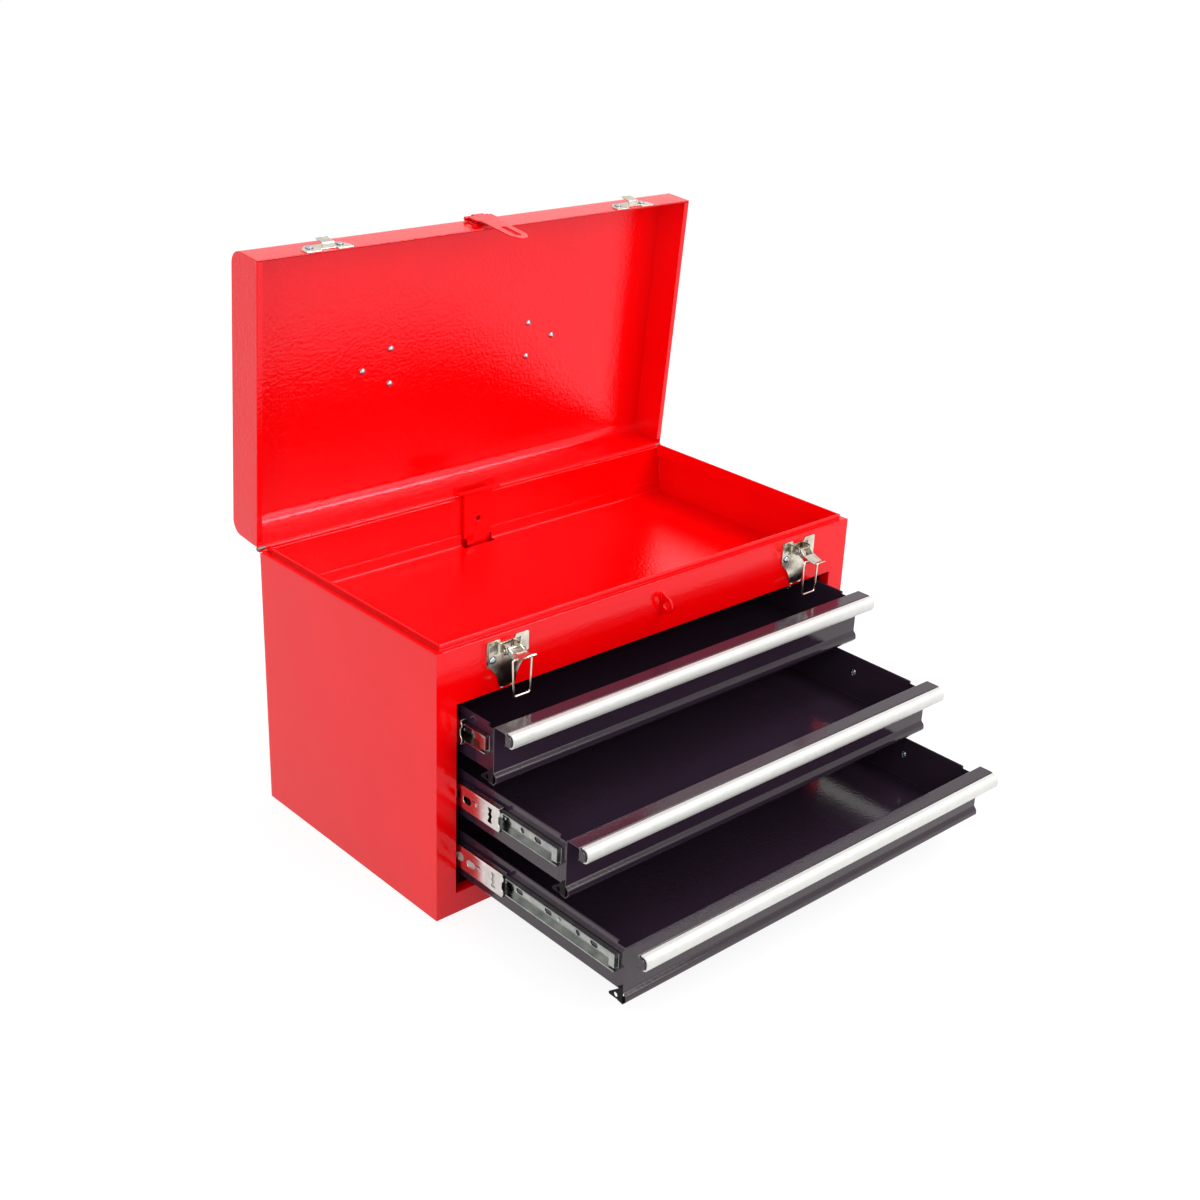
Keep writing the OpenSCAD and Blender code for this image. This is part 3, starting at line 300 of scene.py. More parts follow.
def piece(name, parts, body, material, nodes, sharp=25, painted_shade=None):
    """One mesh from closed skins in millimetres. A skin whose volume (a sixth of the sum of its triangles'
    triple products) is negative is turned round. Painted shade says from 0 to 1 how dark the finish is
    painted at a point, standing in for shade."""
    points, faces, count = [], [], 0
    for p, f in parts:
        three = np.array([(q[0], q[i], q[i + 1]) for q in f for i in range(1, len(q) - 1)])
        a, b, c = (p - p.mean(0))[three.T]
        if np.einsum("ij,ij->", a, np.cross(b, c)) < 0:
            f = [q[::-1] for q in f]
        points.append(p)
        faces += [[v + count for v in q] for q in f]
        count += len(p)
    points = np.concatenate(points)
    made = shown(name, points / 1000, faces, material, body, nodes)
    made.data.set_sharp_from_angle(angle=np.radians(sharp))
    held = made.data.attributes.new("painted_shade", "FLOAT", "POINT")
    if painted_shade:
        held.data.foreach_set("value", painted_shade(points).astype(np.float32))
    even = made.modifiers.new("even_normals", "WEIGHTED_NORMAL")
    even.weight, even.keep_sharp = 100, True


half, front, back, sheet = 260.0, -138.0, 138.0, 0.8
side_x, rear_y, front_y = half - sheet / 2, back - sheet / 2, front + sheet / 2
rear_bend, wall_top, shoulder, rim_top = 134, 262, 263.6, 268.6


def rim_line(wall, foot, flat, rim):
    """Section of the top edge: up the wall, in along the shoulder, up the rim, and folded down inside it."""
    return rounded([(wall, foot), (wall, shoulder), (flat, shoulder), (rim, shoulder), (rim, 267),
                    (rim, rim_top), (rim + 1.2, rim_top), (rim + 1.2, 256)],
                   (0, 1.1, 0, 0.7, 0, 0.6, 0.6, 0))


def rim_painted_shade(p):
    """Painted shade: darker in the crease where the shoulder turns up to the rim, on the sides and along the
    front, where shade falls.
    """
    x, y, z = np.abs(p[:, 0]), p[:, 1], p[:, 2]
    side = (x > 252.4) & (x < 254.2) & (y > -131.2)
    face = (y < -132.4) & (y > -134.2)
    return 0.3 * ((side | face) & (z > 263) & (z < 265.4))


red = enamel("red_enamel", (0.90, 0.0006, 0.0015), (0.84, 0.0004, 0.0012), peel=0.00014, wave=0.0006,
             roughness=0.05, gloss=0.31)
red_tray = enamel("red_enamel_tray", (0.88, 0.0003, 0.0008), (0.84, 0.0002, 0.0008), peel=0.0005,
                  wave=0.0005, roughness=0.04, gloss=0.36)
rear_wall = rounded([(-side_x, rear_bend), (-side_x, rear_y), (side_x, rear_y), (side_x, rear_bend)], 3)
rim = rim_line(-side_x, wall_top, -256.5, -252.6)
corner = rounded([(-side_x, wall_top), (-side_x, shoulder), (-253, shoulder)], 1.1)
rear = [folded(rear_wall, sheet, 0, wall_top, "uvw", 0),
        folded(np.array([(-256, rear_y), (256, rear_y)]), sheet, wall_top, 264, "uvw", 0.3)]
walls = []
for side in (1, -1):
    flat = np.array([(-side_x, front + sheet), (-side_x, rear_bend)]) * (side, 1)
    walls += [folded(flat, sheet, 0, wall_top, "uvw", 0),
              folded(rim * (side, 1), sheet, -131, 134.2, "uwv", 0.1),
              folded(corner * (side, 1), sheet, front + sheet, -131, "uwv", 0)]
# The crease along the walls' rim is painted darker, as painted shade.
piece("case_walls", walls, "case", red, ["case_wrap"], painted_shade=rim_painted_shade)
piece("case_rear_wall", rear, "case", red_tray, ["case_wrap"])


# Bottom pan and slide posts ------
# A shallow pan is welded in between the walls, and four channel posts stand on it to carry
# the drawer slides. They stay out of sight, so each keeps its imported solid, with the sheet
# edges broken.
def pressed(node, material, edge=0.2):
    """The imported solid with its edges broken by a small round: copied, doubles merged, and bevelled."""
    source = frame["nodes"][node]
    points = np.empty(len(source.data.vertices) * 3, np.float32)
    source.data.vertices.foreach_get("co", points)
    corners = np.empty(len(source.data.loops), np.int32)
    source.data.loops.foreach_get("vertex_index", corners)
    unique, index = np.unique(np.round(points.reshape(-1, 3), 6), axis=0, return_inverse=True)
    faces = index.reshape(-1)[corners].reshape(-1, 3)
    faces = faces[(faces != np.roll(faces, 1, 1)).all(1)]
    made = shown(f"{node}_pressed", unique, faces.tolist(), material, source["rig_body"], [node])
    broken = made.modifiers.new("broken_edge", "BEVEL")
    broken.width, broken.segments, broken.harden_normals = edge / 1000, 2, True
    broken.limit_method, broken.angle_limit = "ANGLE", np.radians(28)


pressed("bottom_pan", red)
pressed("slide_posts", red)


# Front frame ------
# One pressing closes the front. The sheet is folded in round the drawer opening, and its top
# edge turns back to the shoulder and up to the folded rim like the sides.
def turning(outline, left):
    """The closed outline, reversed if need be, so that it turns left or right."""
    x, y = np.asarray(outline, float).T
    area = (x * np.roll(y, -1) - np.roll(x, -1) * y).sum()
    return np.asarray(outline, float)[::1 if (area > 0) == left else -1]


def plate(outer, holes, near, far, axes, soften=0.2):
    """A flat plate between two depths. At its faces each outline lies the softening further inside."""
    outlines = [turning(outer, True)] + [turning(h, False) for h in holes]
    edges = [o + normals(o, True) * soften for o in outlines]
    points, faces, flats, count = [], [], [[], []], 0
    for o, e in zip(outlines, edges):
        skin_points, quads = loft(prism(o, e, near, far, axes, soften), False)
        points.append(skin_points)
        faces += (np.array(quads) + count).tolist()
        flats[0].append(np.arange(len(o)) + count)
        flats[1].append(np.arange(len(o)) + count + 3 * len(o))
        count += 4 * len(o)
    flat = np.concatenate(edges)
    three = np.array(tessellate_polygon([[Vector((*p, 0)) for p in e] for e in edges]))
    a, b, c = flat[three[:, 0]], flat[three[:, 1]], flat[three[:, 2]]
    clockwise = (b - a)[:, 0] * (c - a)[:, 1] - (b - a)[:, 1] * (c - a)[:, 0] < 0
    three[clockwise] = three[clockwise][:, ::-1]
    faces += np.concatenate(flats[0])[three[:, ::-1]].tolist() + np.concatenate(flats[1])[three].tolist()
    return np.concatenate(points), faces


def opening(across):
    """Corners (x, z) of the drawer opening, moved outwards by a distance."""
    x, low, top = 238.0 + across, 21.0 - across, 210.4 + across
    return [(-x, low), (x, low), (x, top), (-x, top)]


def around_opening(across, depth):
    """Rectangles round the drawer opening: across is how far each lies outside it, depth is its y."""
    return np.stack([np.stack([x, depth, z], -1) for x, z in opening(across)], 1)


lap, turned_in = 1.8, 11
fold = ribbon(rounded([(lap, front_y), (sheet / 2, front_y), (sheet / 2, front + turned_in)], 1.2), sheet)
fold = np.vstack([fold, fold[:1]])
face = [(-half, 0), (half, 0), (half, 263.9), (253, 263.9), (253, 262.4), (-253, 262.4), (-253, 263.9),
        (-half, 263.9)]
# Its rim crease takes the same painted shade as the walls.
piece("front_frame_sheet",
      [plate(face, [opening(lap)], front, front + sheet, "uwv", 0.0), loft(around_opening(*fold.T), False),
       folded(rim_line(front_y, 262.4, -135.8, -132.6), sheet, -253, 253, "wuv", 0.1)],
      "case", red, ["front_frame"], painted_shade=rim_painted_shade)

# Tray floor ------
# The floor of the top tray is spot welded to the walls, with a flange up the back. A notch
# in its rear edge lets the lock plate slide down past it.
tray_y, tray_z, notch_left, notch_right, wall_inside = -137.2, 211.6, -23.5, 15.5, half - sheet
with_flange = rounded([(tray_y, tray_z), (136.2, tray_z), (136.2, 223.4), (136.7, 224.8)], (0, 2.2, 0.5, 0))
notched = np.array([(tray_y, tray_z), (128.9, tray_z)])
piece("tray_floor_sheet",
      [folded(with_flange, sheet, -wall_inside, notch_left, "wuv", 0.1),
       folded(with_flange, sheet, notch_right, wall_inside, "wuv", 0.1),
       folded(notched, sheet, notch_left, notch_right, "wuv", 0.0)],
      "case", red_tray, ["tray_floor"])

# Piano hinge ------
# Two leaves of 1 mm steel are welded to the case and the lid. Every second knuckle belongs
# to the case, and each is rolled round a 2 mm pin that a steel ferrule closes at each end.
# Two tails on the upper leaf stop the lid at the back of the case.
hinge_y, hinge_z, lid_open = 140.45, 265.0, 85.2
knuckle, knuckle_gap = 2 * half / 9, 0.8
tail_x, tail_half, notch_x, notch_half = 173.33, 12, 173.3, 13


def lifted(parts, angle=lid_open, y=hinge_y, z=hinge_z):
    """Turns skins about a line along x from closed to open: y and z by the angle's cosine and sine."""
    c, s = np.cos(np.radians(angle)), np.sin(np.radians(angle))
    turn = np.array([[1, 0, 0], [0, c, s], [0, -s, c]])
    return [((p - (0, y, z)) @ turn.T + (0, y, z), f) for p, f in parts]


def arc(centre, radius, start, end, steps=16):
    """Points on an arc, angles in degrees from the first axis towards the second."""
    t = np.radians(np.linspace(start, end, steps + 1))
    return np.asarray(centre) + radius * np.stack([np.cos(t), np.sin(t)], -1)


def knuckles(first, line):
    """The rolled ends of one leaf: its line carried along every second knuckle's length."""
    starts = knuckle_gap / 2 - half + knuckle * np.arange(first, 9, 2)
    return [folded(line, 1.0, x, x + knuckle - knuckle_gap, "wuv", 0.12) for x in starts]


def notch(x):
    """Corners of the notch that lets a stop tail through the lower leaf."""
    return [(x + notch_half, 262.6), (x + notch_half, 254), (x - notch_half, 254), (x - notch_half, 262.6)]


def mirrored(points, flip=(-1, 1)):
    """The points, and then their mirror image taken backwards."""
    return points + [(a * flip[0], b * flip[1]) for a, b in points[::-1]]


def turned(profile, centre, axis, steps=28):
    """A profile of (distance from the axis, height along it) turned round the axis: each ring is
    centre + height x axis + distance x (cos t x a + sin t x b)."""
    axis = np.asarray(axis, float) / np.linalg.norm(axis)
    a = np.cross(axis, (0.0, 0.0, 1.0) if abs(axis[2]) < 0.9 else (1.0, 0.0, 0.0))
    a /= np.linalg.norm(a)
    t = np.linspace(0, 2 * np.pi, steps, endpoint=False)[:, None]
    ring = np.cos(t) * a + np.sin(t) * np.cross(axis, a)
    distance, height = np.asarray(profile, float).T[:, :, None, None]
    return loft(np.asarray(centre) + height * axis + distance * ring)


def metal(name, colour, dull, roughness, grain, depth, stretch=(1, 1, 1), metallic=1.0):
    """Plated steel: tone and roughness drift in patches, fine grain or brushing roughens it, and it is
    painted darker where the piece's painted shade says, as painted shade and painted reflection. Grain is its
    features to the metre, and depth its height in metres."""
    material, nodes, links, shader = finish(name, colour, metallic, roughness)
    patches = noise(nodes, links, 90, 4)
    # The deep colour, 0.14 of the dull tone, is painted shade and painted reflection.
    tinted(nodes, links, shader, ranged(nodes, links, patches, 0, 1), colour, dull,
           tuple(0.14 * c for c in dull))
    links.new(ranged(nodes, links, patches, roughness, roughness + 0.07), shader.inputs["Roughness"])
    bumped(nodes, links, shader, (noise(nodes, links, grain, 3, stretch), depth))
    return material


roll_case = np.vstack([[(138.5, 262.4)], arc((hinge_y, hinge_z), 1.7, 180, -162, 30)])
roll_lid = np.vstack([[(138.5, 267.6)], arc((hinge_y, hinge_z), 1.7, 180, 522, 30)])
lower_leaf = [(-256, 245), (256, 245), (256, 262.6), *notch(notch_x), *notch(-notch_x), (-256, 262.6)]
upper_leaf = [(-half, 267.4), (half, 267.4), (half, 285), (-half, 285)]
tail = np.array([(138.75, 256.2), (138.75, 264.6)])
tails = [folded(tail, 0.8, x - tail_half, x + tail_half, "wuv", 0.12) for x in (-tail_x, tail_x)]
piece("hinge_lower_leaf", [plate(lower_leaf, [], 138, 139, "uwv", 0.15)] + knuckles(0, roll_case),
      "case", red, ["hinge_leaf_case"])
piece("hinge_upper_leaf",
      lifted([plate(upper_leaf, [], 138, 139, "uwv", 0.15)] + knuckles(1, roll_lid)) + tails,
      "lid", red, ["hinge_leaf_lid"])
pin_steel = metal("pin_steel", (0.20, 0.18, 0.17), (0.14, 0.13, 0.12), 0.35, grain=600, depth=0.00002)
pin = mirrored([(1.6, -260.4), (2.3, -260.2), (2.35, -260), (2.35, -253), (1, -253)], (1, -1))
piece("hinge_pin_wire", [turned(pin, (0, hinge_y, hinge_z), (1, 0, 0), 16)],
      "case", pin_steel, ["hinge_pin"])

# Padlock staple ------
# A 2.4 mm fin stands upright on the front and is welded along its root, where the seam shows
# as a low step. The shackle of a padlock goes through its eye.
fin = np.vstack([[(front, 252)], arc((front - 6, 240.5), 8, 100, 260, 20), [(front, 229)]])
eye = arc((-145, 240.5), 4, 0, 345, 23)
seam = np.array([(front - 0.3, 229.5), (front - 0.3, 251.5)])
piece("staple_fin", [plate(fin, [eye], -1.2, 1.2, "wuv", 0.4), folded(seam, 0.6, -2.3, 2.3, "wuv", 0.25)],
      "case", red, ["padlock_staple"])


# Latch bases ------
# A base of 1 mm nickel plated steel is riveted under each catch. Two ears are lanced out of
# it and leave windows beside them, and its tail narrows and is dished to stiffen it.
def step(x, start, end):
    """0 before start, 1 after end, and the smooth cubic 3t2 - 2t3 in between."""
    t = np.clip((x - start) / (end - start), 0, 1)
    return t * t * (3 - 2 * t)


def hump(x, half_width, soft):
    """1 inside the half width, falling smoothly to 0 over the soft distance."""
    return 1 - step(np.abs(x), half_width - soft / 2, half_width + soft / 2)


def round_end(left, reach):
    """What a round end takes off: 1 - sqrt(1 - t^2), with t from 0 at the reach to 1 at the end."""
    return 1 - np.sqrt(1 - np.clip(1 - left / reach, 0, 1) ** 2)


def skin(face_grid, back_grid):
    """A sheet between two grids of points: its two faces, and a strip round their rim."""
    n = face_grid.shape[0] * face_grid.shape[1]
    i = np.arange(n).reshape(face_grid.shape[:2])
    quads = np.stack([i[:-1, :-1], i[:-1, 1:], i[1:, 1:], i[1:, :-1]], -1).reshape(-1, 4)
    loop = np.concatenate([i[0, :-1], i[:-1, -1], i[-1, :0:-1], i[:0:-1, 0]])
    after = np.roll(loop, -1)
    strip = np.stack([after, loop, loop + n, after + n], -1)
    return (np.concatenate([face_grid.reshape(-1, 3), back_grid.reshape(-1, 3)]),
            np.concatenate([quads, quads[:, ::-1] + n, strip]).tolist())


sides = {"left": -1, "right": 1}
latch_x, pivot_y, pivot_z, base_foot, base_top = 185.0, -145.0, 251.0, 213, 260
nickel = metal("nickel_plate", (0.76, 0.715, 0.63), (0.52, 0.475, 0.39), 0.14, grain=300, depth=0.00006)


def latch_base(x):
    """A face whose half width is 23 down to the wings' foot and 9 + 14 t^2.2 below it. Its height is the
    sheet's, less the windows and the dish of the tail, plus the raised rim of the wings."""
    v, u = np.meshgrid(np.linspace(0, 1, 97), np.linspace(-1, 1, 73), indexing="ij")
    z = base_foot + (base_top - base_foot) * v
    wide = np.where(z < 238, 9 + 14 * np.clip((z - base_foot) / 25, 0, 1) ** 2.2, 23)
    wide -= 1.6 * round_end(base_top - z, 1.6) + 4 * round_end(z - 212.9, 3.1)
    across = wide * u
    crown = base_top - 3.5 * (1 - step(np.abs(across), 7.8, 9.2))
    z = np.where(z > 250, 250 + (z - 250) * (crown - 250) / 10, z)
    window = hump(np.abs(across) - 11.6, 2.3, 0.5) * hump(z - 251, 4.6, 0.5)
    bed = hump(across, 5.6, 0.8) * hump(z - 250.5, 4.2, 0.8)
    dish = (1 - step(z, 225, 240)) * (1 - (across / np.maximum(wide, 1)) ** 2)
    edge = 0.35 * (1 - step(23 - np.abs(across), 0.4, 2.2)) * step(z, 238, 242)
    height = 1.35 + edge - 0.85 * window - 0.3 * bed - 0.75 * dish
    face_grid = np.stack([x + across, front - height, z], -1)
    back_grid = np.stack([x + across, np.full_like(z, front - 0.02), z], -1)
    ear = rounded([(front - 0.5, 246.6), (-148.4, 246.6), (-148.4, 255.4), (front - 0.5, 255.4)],
                  (0, 4, 4, 0), 8)
    bore = arc((pivot_y, pivot_z), 1.02, 0, 330, 11)
    ears = [plate(ear, [bore], x + s * 7.4, x + s * 8.4, "wuv", 0.15) for s in (-1, 1)]
    return [skin(face_grid, back_grid)] + ears


def latch_painted_shade(p, x):
    """Painted shade and painted reflection: darker in the windows, on the ears, in a lens-shaped patch on the
    left wing, round the bump and down the tail.
    """
    across, z = p[:, 0] - x, p[:, 2]
    out = -p[:, 1]
    ears = hump(np.abs(across) - 7.9, 0.62, 0.1) * step(out, 140.4, 142) * (1 - step(out, 147.4, 148.2))
    windows = hump(np.abs(across) - 11.6, 1.4, 1.0) * hump(z - 251, 4.2, 1.0)
    lens_patch = hump(z - 252.6 - 0.2 * (across + 17), 2.6, 1.6) * hump(across + 17, 3.2, 1.4)
    round_it = np.hypot(across, z - 250)
    bump = hump(round_it - 4.2, 0.4, 0.7) + 0.3 * hump(round_it, 4, 0.8)
    tail = step(-z, -230, -219) * (1 - step(-z, -216.4, -215)) * (0.5 + 0.02 * across)
    return np.clip(0.8 * ears + 0.6 * windows + 0.7 * lens_patch + 0.5 * bump + tail, 0, 1)


# Each base is painted darker in places, as painted shade and painted reflection.
for name, side in sides.items():
    piece(f"latch_base_{name}_plate", latch_base(side * latch_x), "case", nickel,
          [f"latch_base_{name}"], 32, lambda p: latch_painted_shade(p, side * latch_x))
peened = mirrored([(0.4, -9.3), (1.2, -9.1), (1.5, -8.7), (1.5, -8.45), (1, -8.4)], (1, -1))
piece("latch_pins_peened",
      [turned(peened, (s * latch_x, pivot_y, pivot_z), (1, 0, 0), 20) for s in sides.values()],
      "case", nickel, ["latch_pins"])

# Rivets of the case ------
# Zinc plated tubular rivets hold the latch bases. Their flared collar shows round the dome.
# Three guide rivets with flat heads hold the lock plate to the back wall.
rivet_zinc = metal("rivet_zinc", (0.56, 0.61, 0.66), (0.40, 0.44, 0.48), 0.2, grain=600, depth=0.00002)
shank = [(0.1, -2.6), (1.4, -2.6), (1.4, -0.1)]
dome = [(3.8, 0), (3.8, 0.3), (3.5, 0.45), (3.2, 0.4), (3.05, 0.8), (2.7, 1.25), (2.0, 1.6), (1.1, 1.78),
        (0.1, 1.8)]
guide = [(0.1, -4.6), (1.8, -4.6), (1.8, 0.35), (3.6, 0.35), (4, 0.6), (4, 1.1), (3.6, 1.35), (0.1, 1.35)]
base_rivet_x, base_rivet_z = 16.5, 242


def collar(p, reach, z):
    """Painted shade: a dark ring round each dome, where its collar lies on the plate, to both sides of a
    latch.
    """
    across = np.abs(np.abs(np.abs(p[:, 0]) - latch_x) - reach)
    return 0.8 * step(np.hypot(across, p[:, 2] - z), 3.1, 3.3)


def domes(reach, y, z):
    """The four domed rivets of the two latches or catches, with their heads to the front."""
    return [turned(shank + dome, (s * latch_x + dx, y, z), (0, -1, 0))
            for s in sides.values() for dx in (-reach, reach)]


# The rivet heads carry a painted shade ring where each collar meets the plate.
piece("case_rivet_heads", domes(base_rivet_x, front - 1.35, base_rivet_z), "case", rivet_zinc,
      ["case_rivets"], painted_shade=lambda p: collar(p, base_rivet_x, base_rivet_z))
piece("lock_guide_heads", [turned(guide, (-4, 133.4, z), (0, -1, 0)) for z in (234, 162, 45)],
      "case", red, ["case_rivets"])


# Latch levers ------
# Each lever is a pressed channel: a flat thumb plate with a curled tip, and two cheeks that
# turn on the pin. Both hang open here, the left one level and the right one at a slope.
def moved(parts, by):
    """The skins, shifted by x, y and z."""
    return [(p + by, f) for p, f in parts]


def hanging(parts, drop, x):
    """Turns skins drawn with the lever closed until it stands drop degrees below level."""
    return moved(lifted(parts, 90 - drop, 0, 0), (x, pivot_y, pivot_z))


def strap(line, rows, shape, x=0.0):
    """A strap of 1 mm sheet as a grid along its centre line. Shape gives its half width and crown from the
    way along, the way left and -1 to 1 across. Each point is moved half the thickness along the normal."""
    run = np.concatenate([[0], np.cumsum(np.linalg.norm(np.diff(line, axis=0), axis=1))])
    even = np.linspace(0, run[-1], rows)
    line = np.stack([np.interp(even, run, line[:, k]) for k in (0, 1)], -1)
    s, u = np.meshgrid(even, np.linspace(-1, 1, 25), indexing="ij")
    wide, crown = shape(s, run[-1] - s, u)
    out = normals(line)[:, None, :]
    mid = line[:, None, :] - out * crown[..., None]
    return skin(*[np.stack([x + wide * u, *np.moveaxis(mid + out * d, -1, 0)], -1) for d in (-0.5, 0.5)])


def thumb_shape(s, left, u):
    """Half width and crown of the thumb plate, which narrows towards a rounded tip."""
    return 7 - 0.5 * step(s, 9, 18) - 1.6 * round_end(left, 1.8), 0.25 * (1 - u ** 2) * step(s, 2, 6)


drops = {"left": 0, "right": 19}
thumb_line = rounded([(1.6, -7.6), (0.5, -9.2), (0.5, -21.5), (-1.0, -24.6), (-3.2, -26.2)],
                     (0, 1.4, 3, 3, 0), 8)
cheek = rounded([(-3.4, 3.4), (3.4, 3.4), (4.2, -8), (5.5, -11.5), (5.5, -16.4), (0, -16.8), (-0.2, -9),
                 (-3.4, -3)], (3.3, 3.3, 3, 2, 2.1, 1, 3, 2), 6, closed=True)
eye_y, eye_z = 3.5, -14
bores = [arc((0, 0), 1.05, 0, 330, 11), arc((eye_y, eye_z), 1.05, 0, 330, 11)]
thumb = strap(thumb_line, 60, thumb_shape)
cheeks = [plate(cheek, bores, s * 5.95, s * 6.95, "wuv", 0.15) for s in (-1, 1)]
for name, side in sides.items():
    piece(f"latch_lever_{name}_plate", hanging([thumb] + cheeks, drops[name], side * latch_x),
          f"latch_lever_{name}", nickel, [f"lever_{name}"], 32)


# Wire bails ------
# One bright wire of 2 mm, bent to a loop. Its ends turn in through the lever's cheeks, and
# its cross bar pulls the catch down when the lever is closed.
def tube(path, radius, flat_normal, steps=14):
    """A wire along a flat path: round each point a circle of the path's normal and of tangent x normal,
    with the two last rings drawn in to a blunt end."""
    along = np.gradient(path, axis=0)
    along /= np.linalg.norm(along, axis=1, keepdims=True)
    n = np.asarray(flat_normal, float)
    across = np.cross(along, n)
    t = np.linspace(0, 2 * np.pi, steps, endpoint=False)[None, :, None]
    r = np.full((len(path), 1, 1), float(radius))
    path, across, r = (np.concatenate([a[:1], a, a[-1:]]) for a in (path, across, r))
    path[0] -= along[0] * radius * 0.35
    path[-1] += along[-1] * radius * 0.35
    r[[0, -1]] *= 0.6
    return loft(path[:, None] + r * (np.cos(t) * n + np.sin(t) * across[:, None]))


def bail_pivot(drop):
    """Where the bail's eye goes as the lever turns: its closed place, turned by 90 - drop degrees."""
    a = np.radians(90 - drop)
    return (pivot_y + eye_y * np.cos(a) + eye_z * np.sin(a), pivot_z - eye_y * np.sin(a) + eye_z * np.cos(a))


bright = metal("bright_wire", (0.82, 0.78, 0.70), (0.66, 0.61, 0.52), 0.12, grain=600, depth=0.00001)
loop = rounded(mirrored([(5.4, 0), (10.5, 0), (9, -35)]), (0, 1.7, 2.4, 2.4, 1.7, 0), 8)
for name, side in sides.items():
    wire = spread(loop, 0.0, "uwv") + (side * latch_x, *bail_pivot(drops[name]))
    piece(f"bail_{name}_wire", [tube(wire, 1.0, (0, 1, 0))], f"latch_bail_{name}", bright,
          [f"bail_{name}"], 60)

# Lock plate ------
# A red plate slides on the back wall behind the drawers. The closing lid presses its top bar
# down, and its hooks then hold all the drawers shut.
pressed("lock_plate", red)
tab = rounded([(133.2, 223), (131.6, 217), (131.6, 213.4)], 2)
piece("lock_plate_foot", [folded(tab, sheet, -19.5, -10.5, "wuv", 0.15)], "lock", red,
      ["lock_plate"])

# Drawer slides ------
# Ball bearing slides of zinc plated steel, three members on each side of each drawer: the
# outer one is riveted to the posts, the middle one carries the pressed slots and a waisted
# nose, the inner one is screwed to the drawer.
fine, brushed = {"grain": 500, "depth": 0.00003}, (1, 0.15, 1)
zinc = metal("slide_zinc", (0.72, 0.70, 0.68), (0.58, 0.56, 0.54), 0.16, **fine, stretch=brushed)
# Painted shade: the drawer members take a darker copy of the zinc, for the shade inside their channels.
shaded_zinc = metal("slide_zinc_shaded", (0.47, 0.48, 0.455), (0.30, 0.315, 0.305), 0.15, **fine, stretch=brushed)
cage_zinc = metal("slide_zinc_cage", (0.66, 0.64, 0.60), (0.52, 0.50, 0.47), 0.4, **fine, metallic=0.5)
opened = {1: 44.0, 2: 140.0, 3: 214.0}
foot = {1: 150.0, 2: 87.5, 3: 25.0}
top = {k: foot[k] + 56.5 for k in foot}
slide_z = {k: top[k] - 23.0 for k in foot}
setback = {1: 19.0, 2: 14.0, 3: 45.0}
middle_long, inner_long, inner_setback = 220, 234, 12


def both(parts):
    """The parts, and the same ones mirrored to the other side of the chest."""
    return parts + [(p * (-1, 1, 1), [q[::-1] for q in f]) for p, f in parts]


def oval(y, z, long, tall, steps=5):
    """A slot with round ends, long in y."""
    a, b = long / 2, tall / 2
    box = [(y - a, z - b), (y + a, z - b), (y + a, z + b), (y - a, z + b)]
    return rounded(box, min(long, tall) * 0.48, steps, closed=True)


def member(outline, holes, near, far, flange, bend, start, end):
    """One slide member: its web between two places x, and the two flanges folded along its edges."""
    line = rounded(flange, bend)
    return [plate(outline, holes, near, far, "wuv", 0.18)] + [
        folded(line * (1, s), 1.0, start, end, "uwv") for s in (1, -1)]


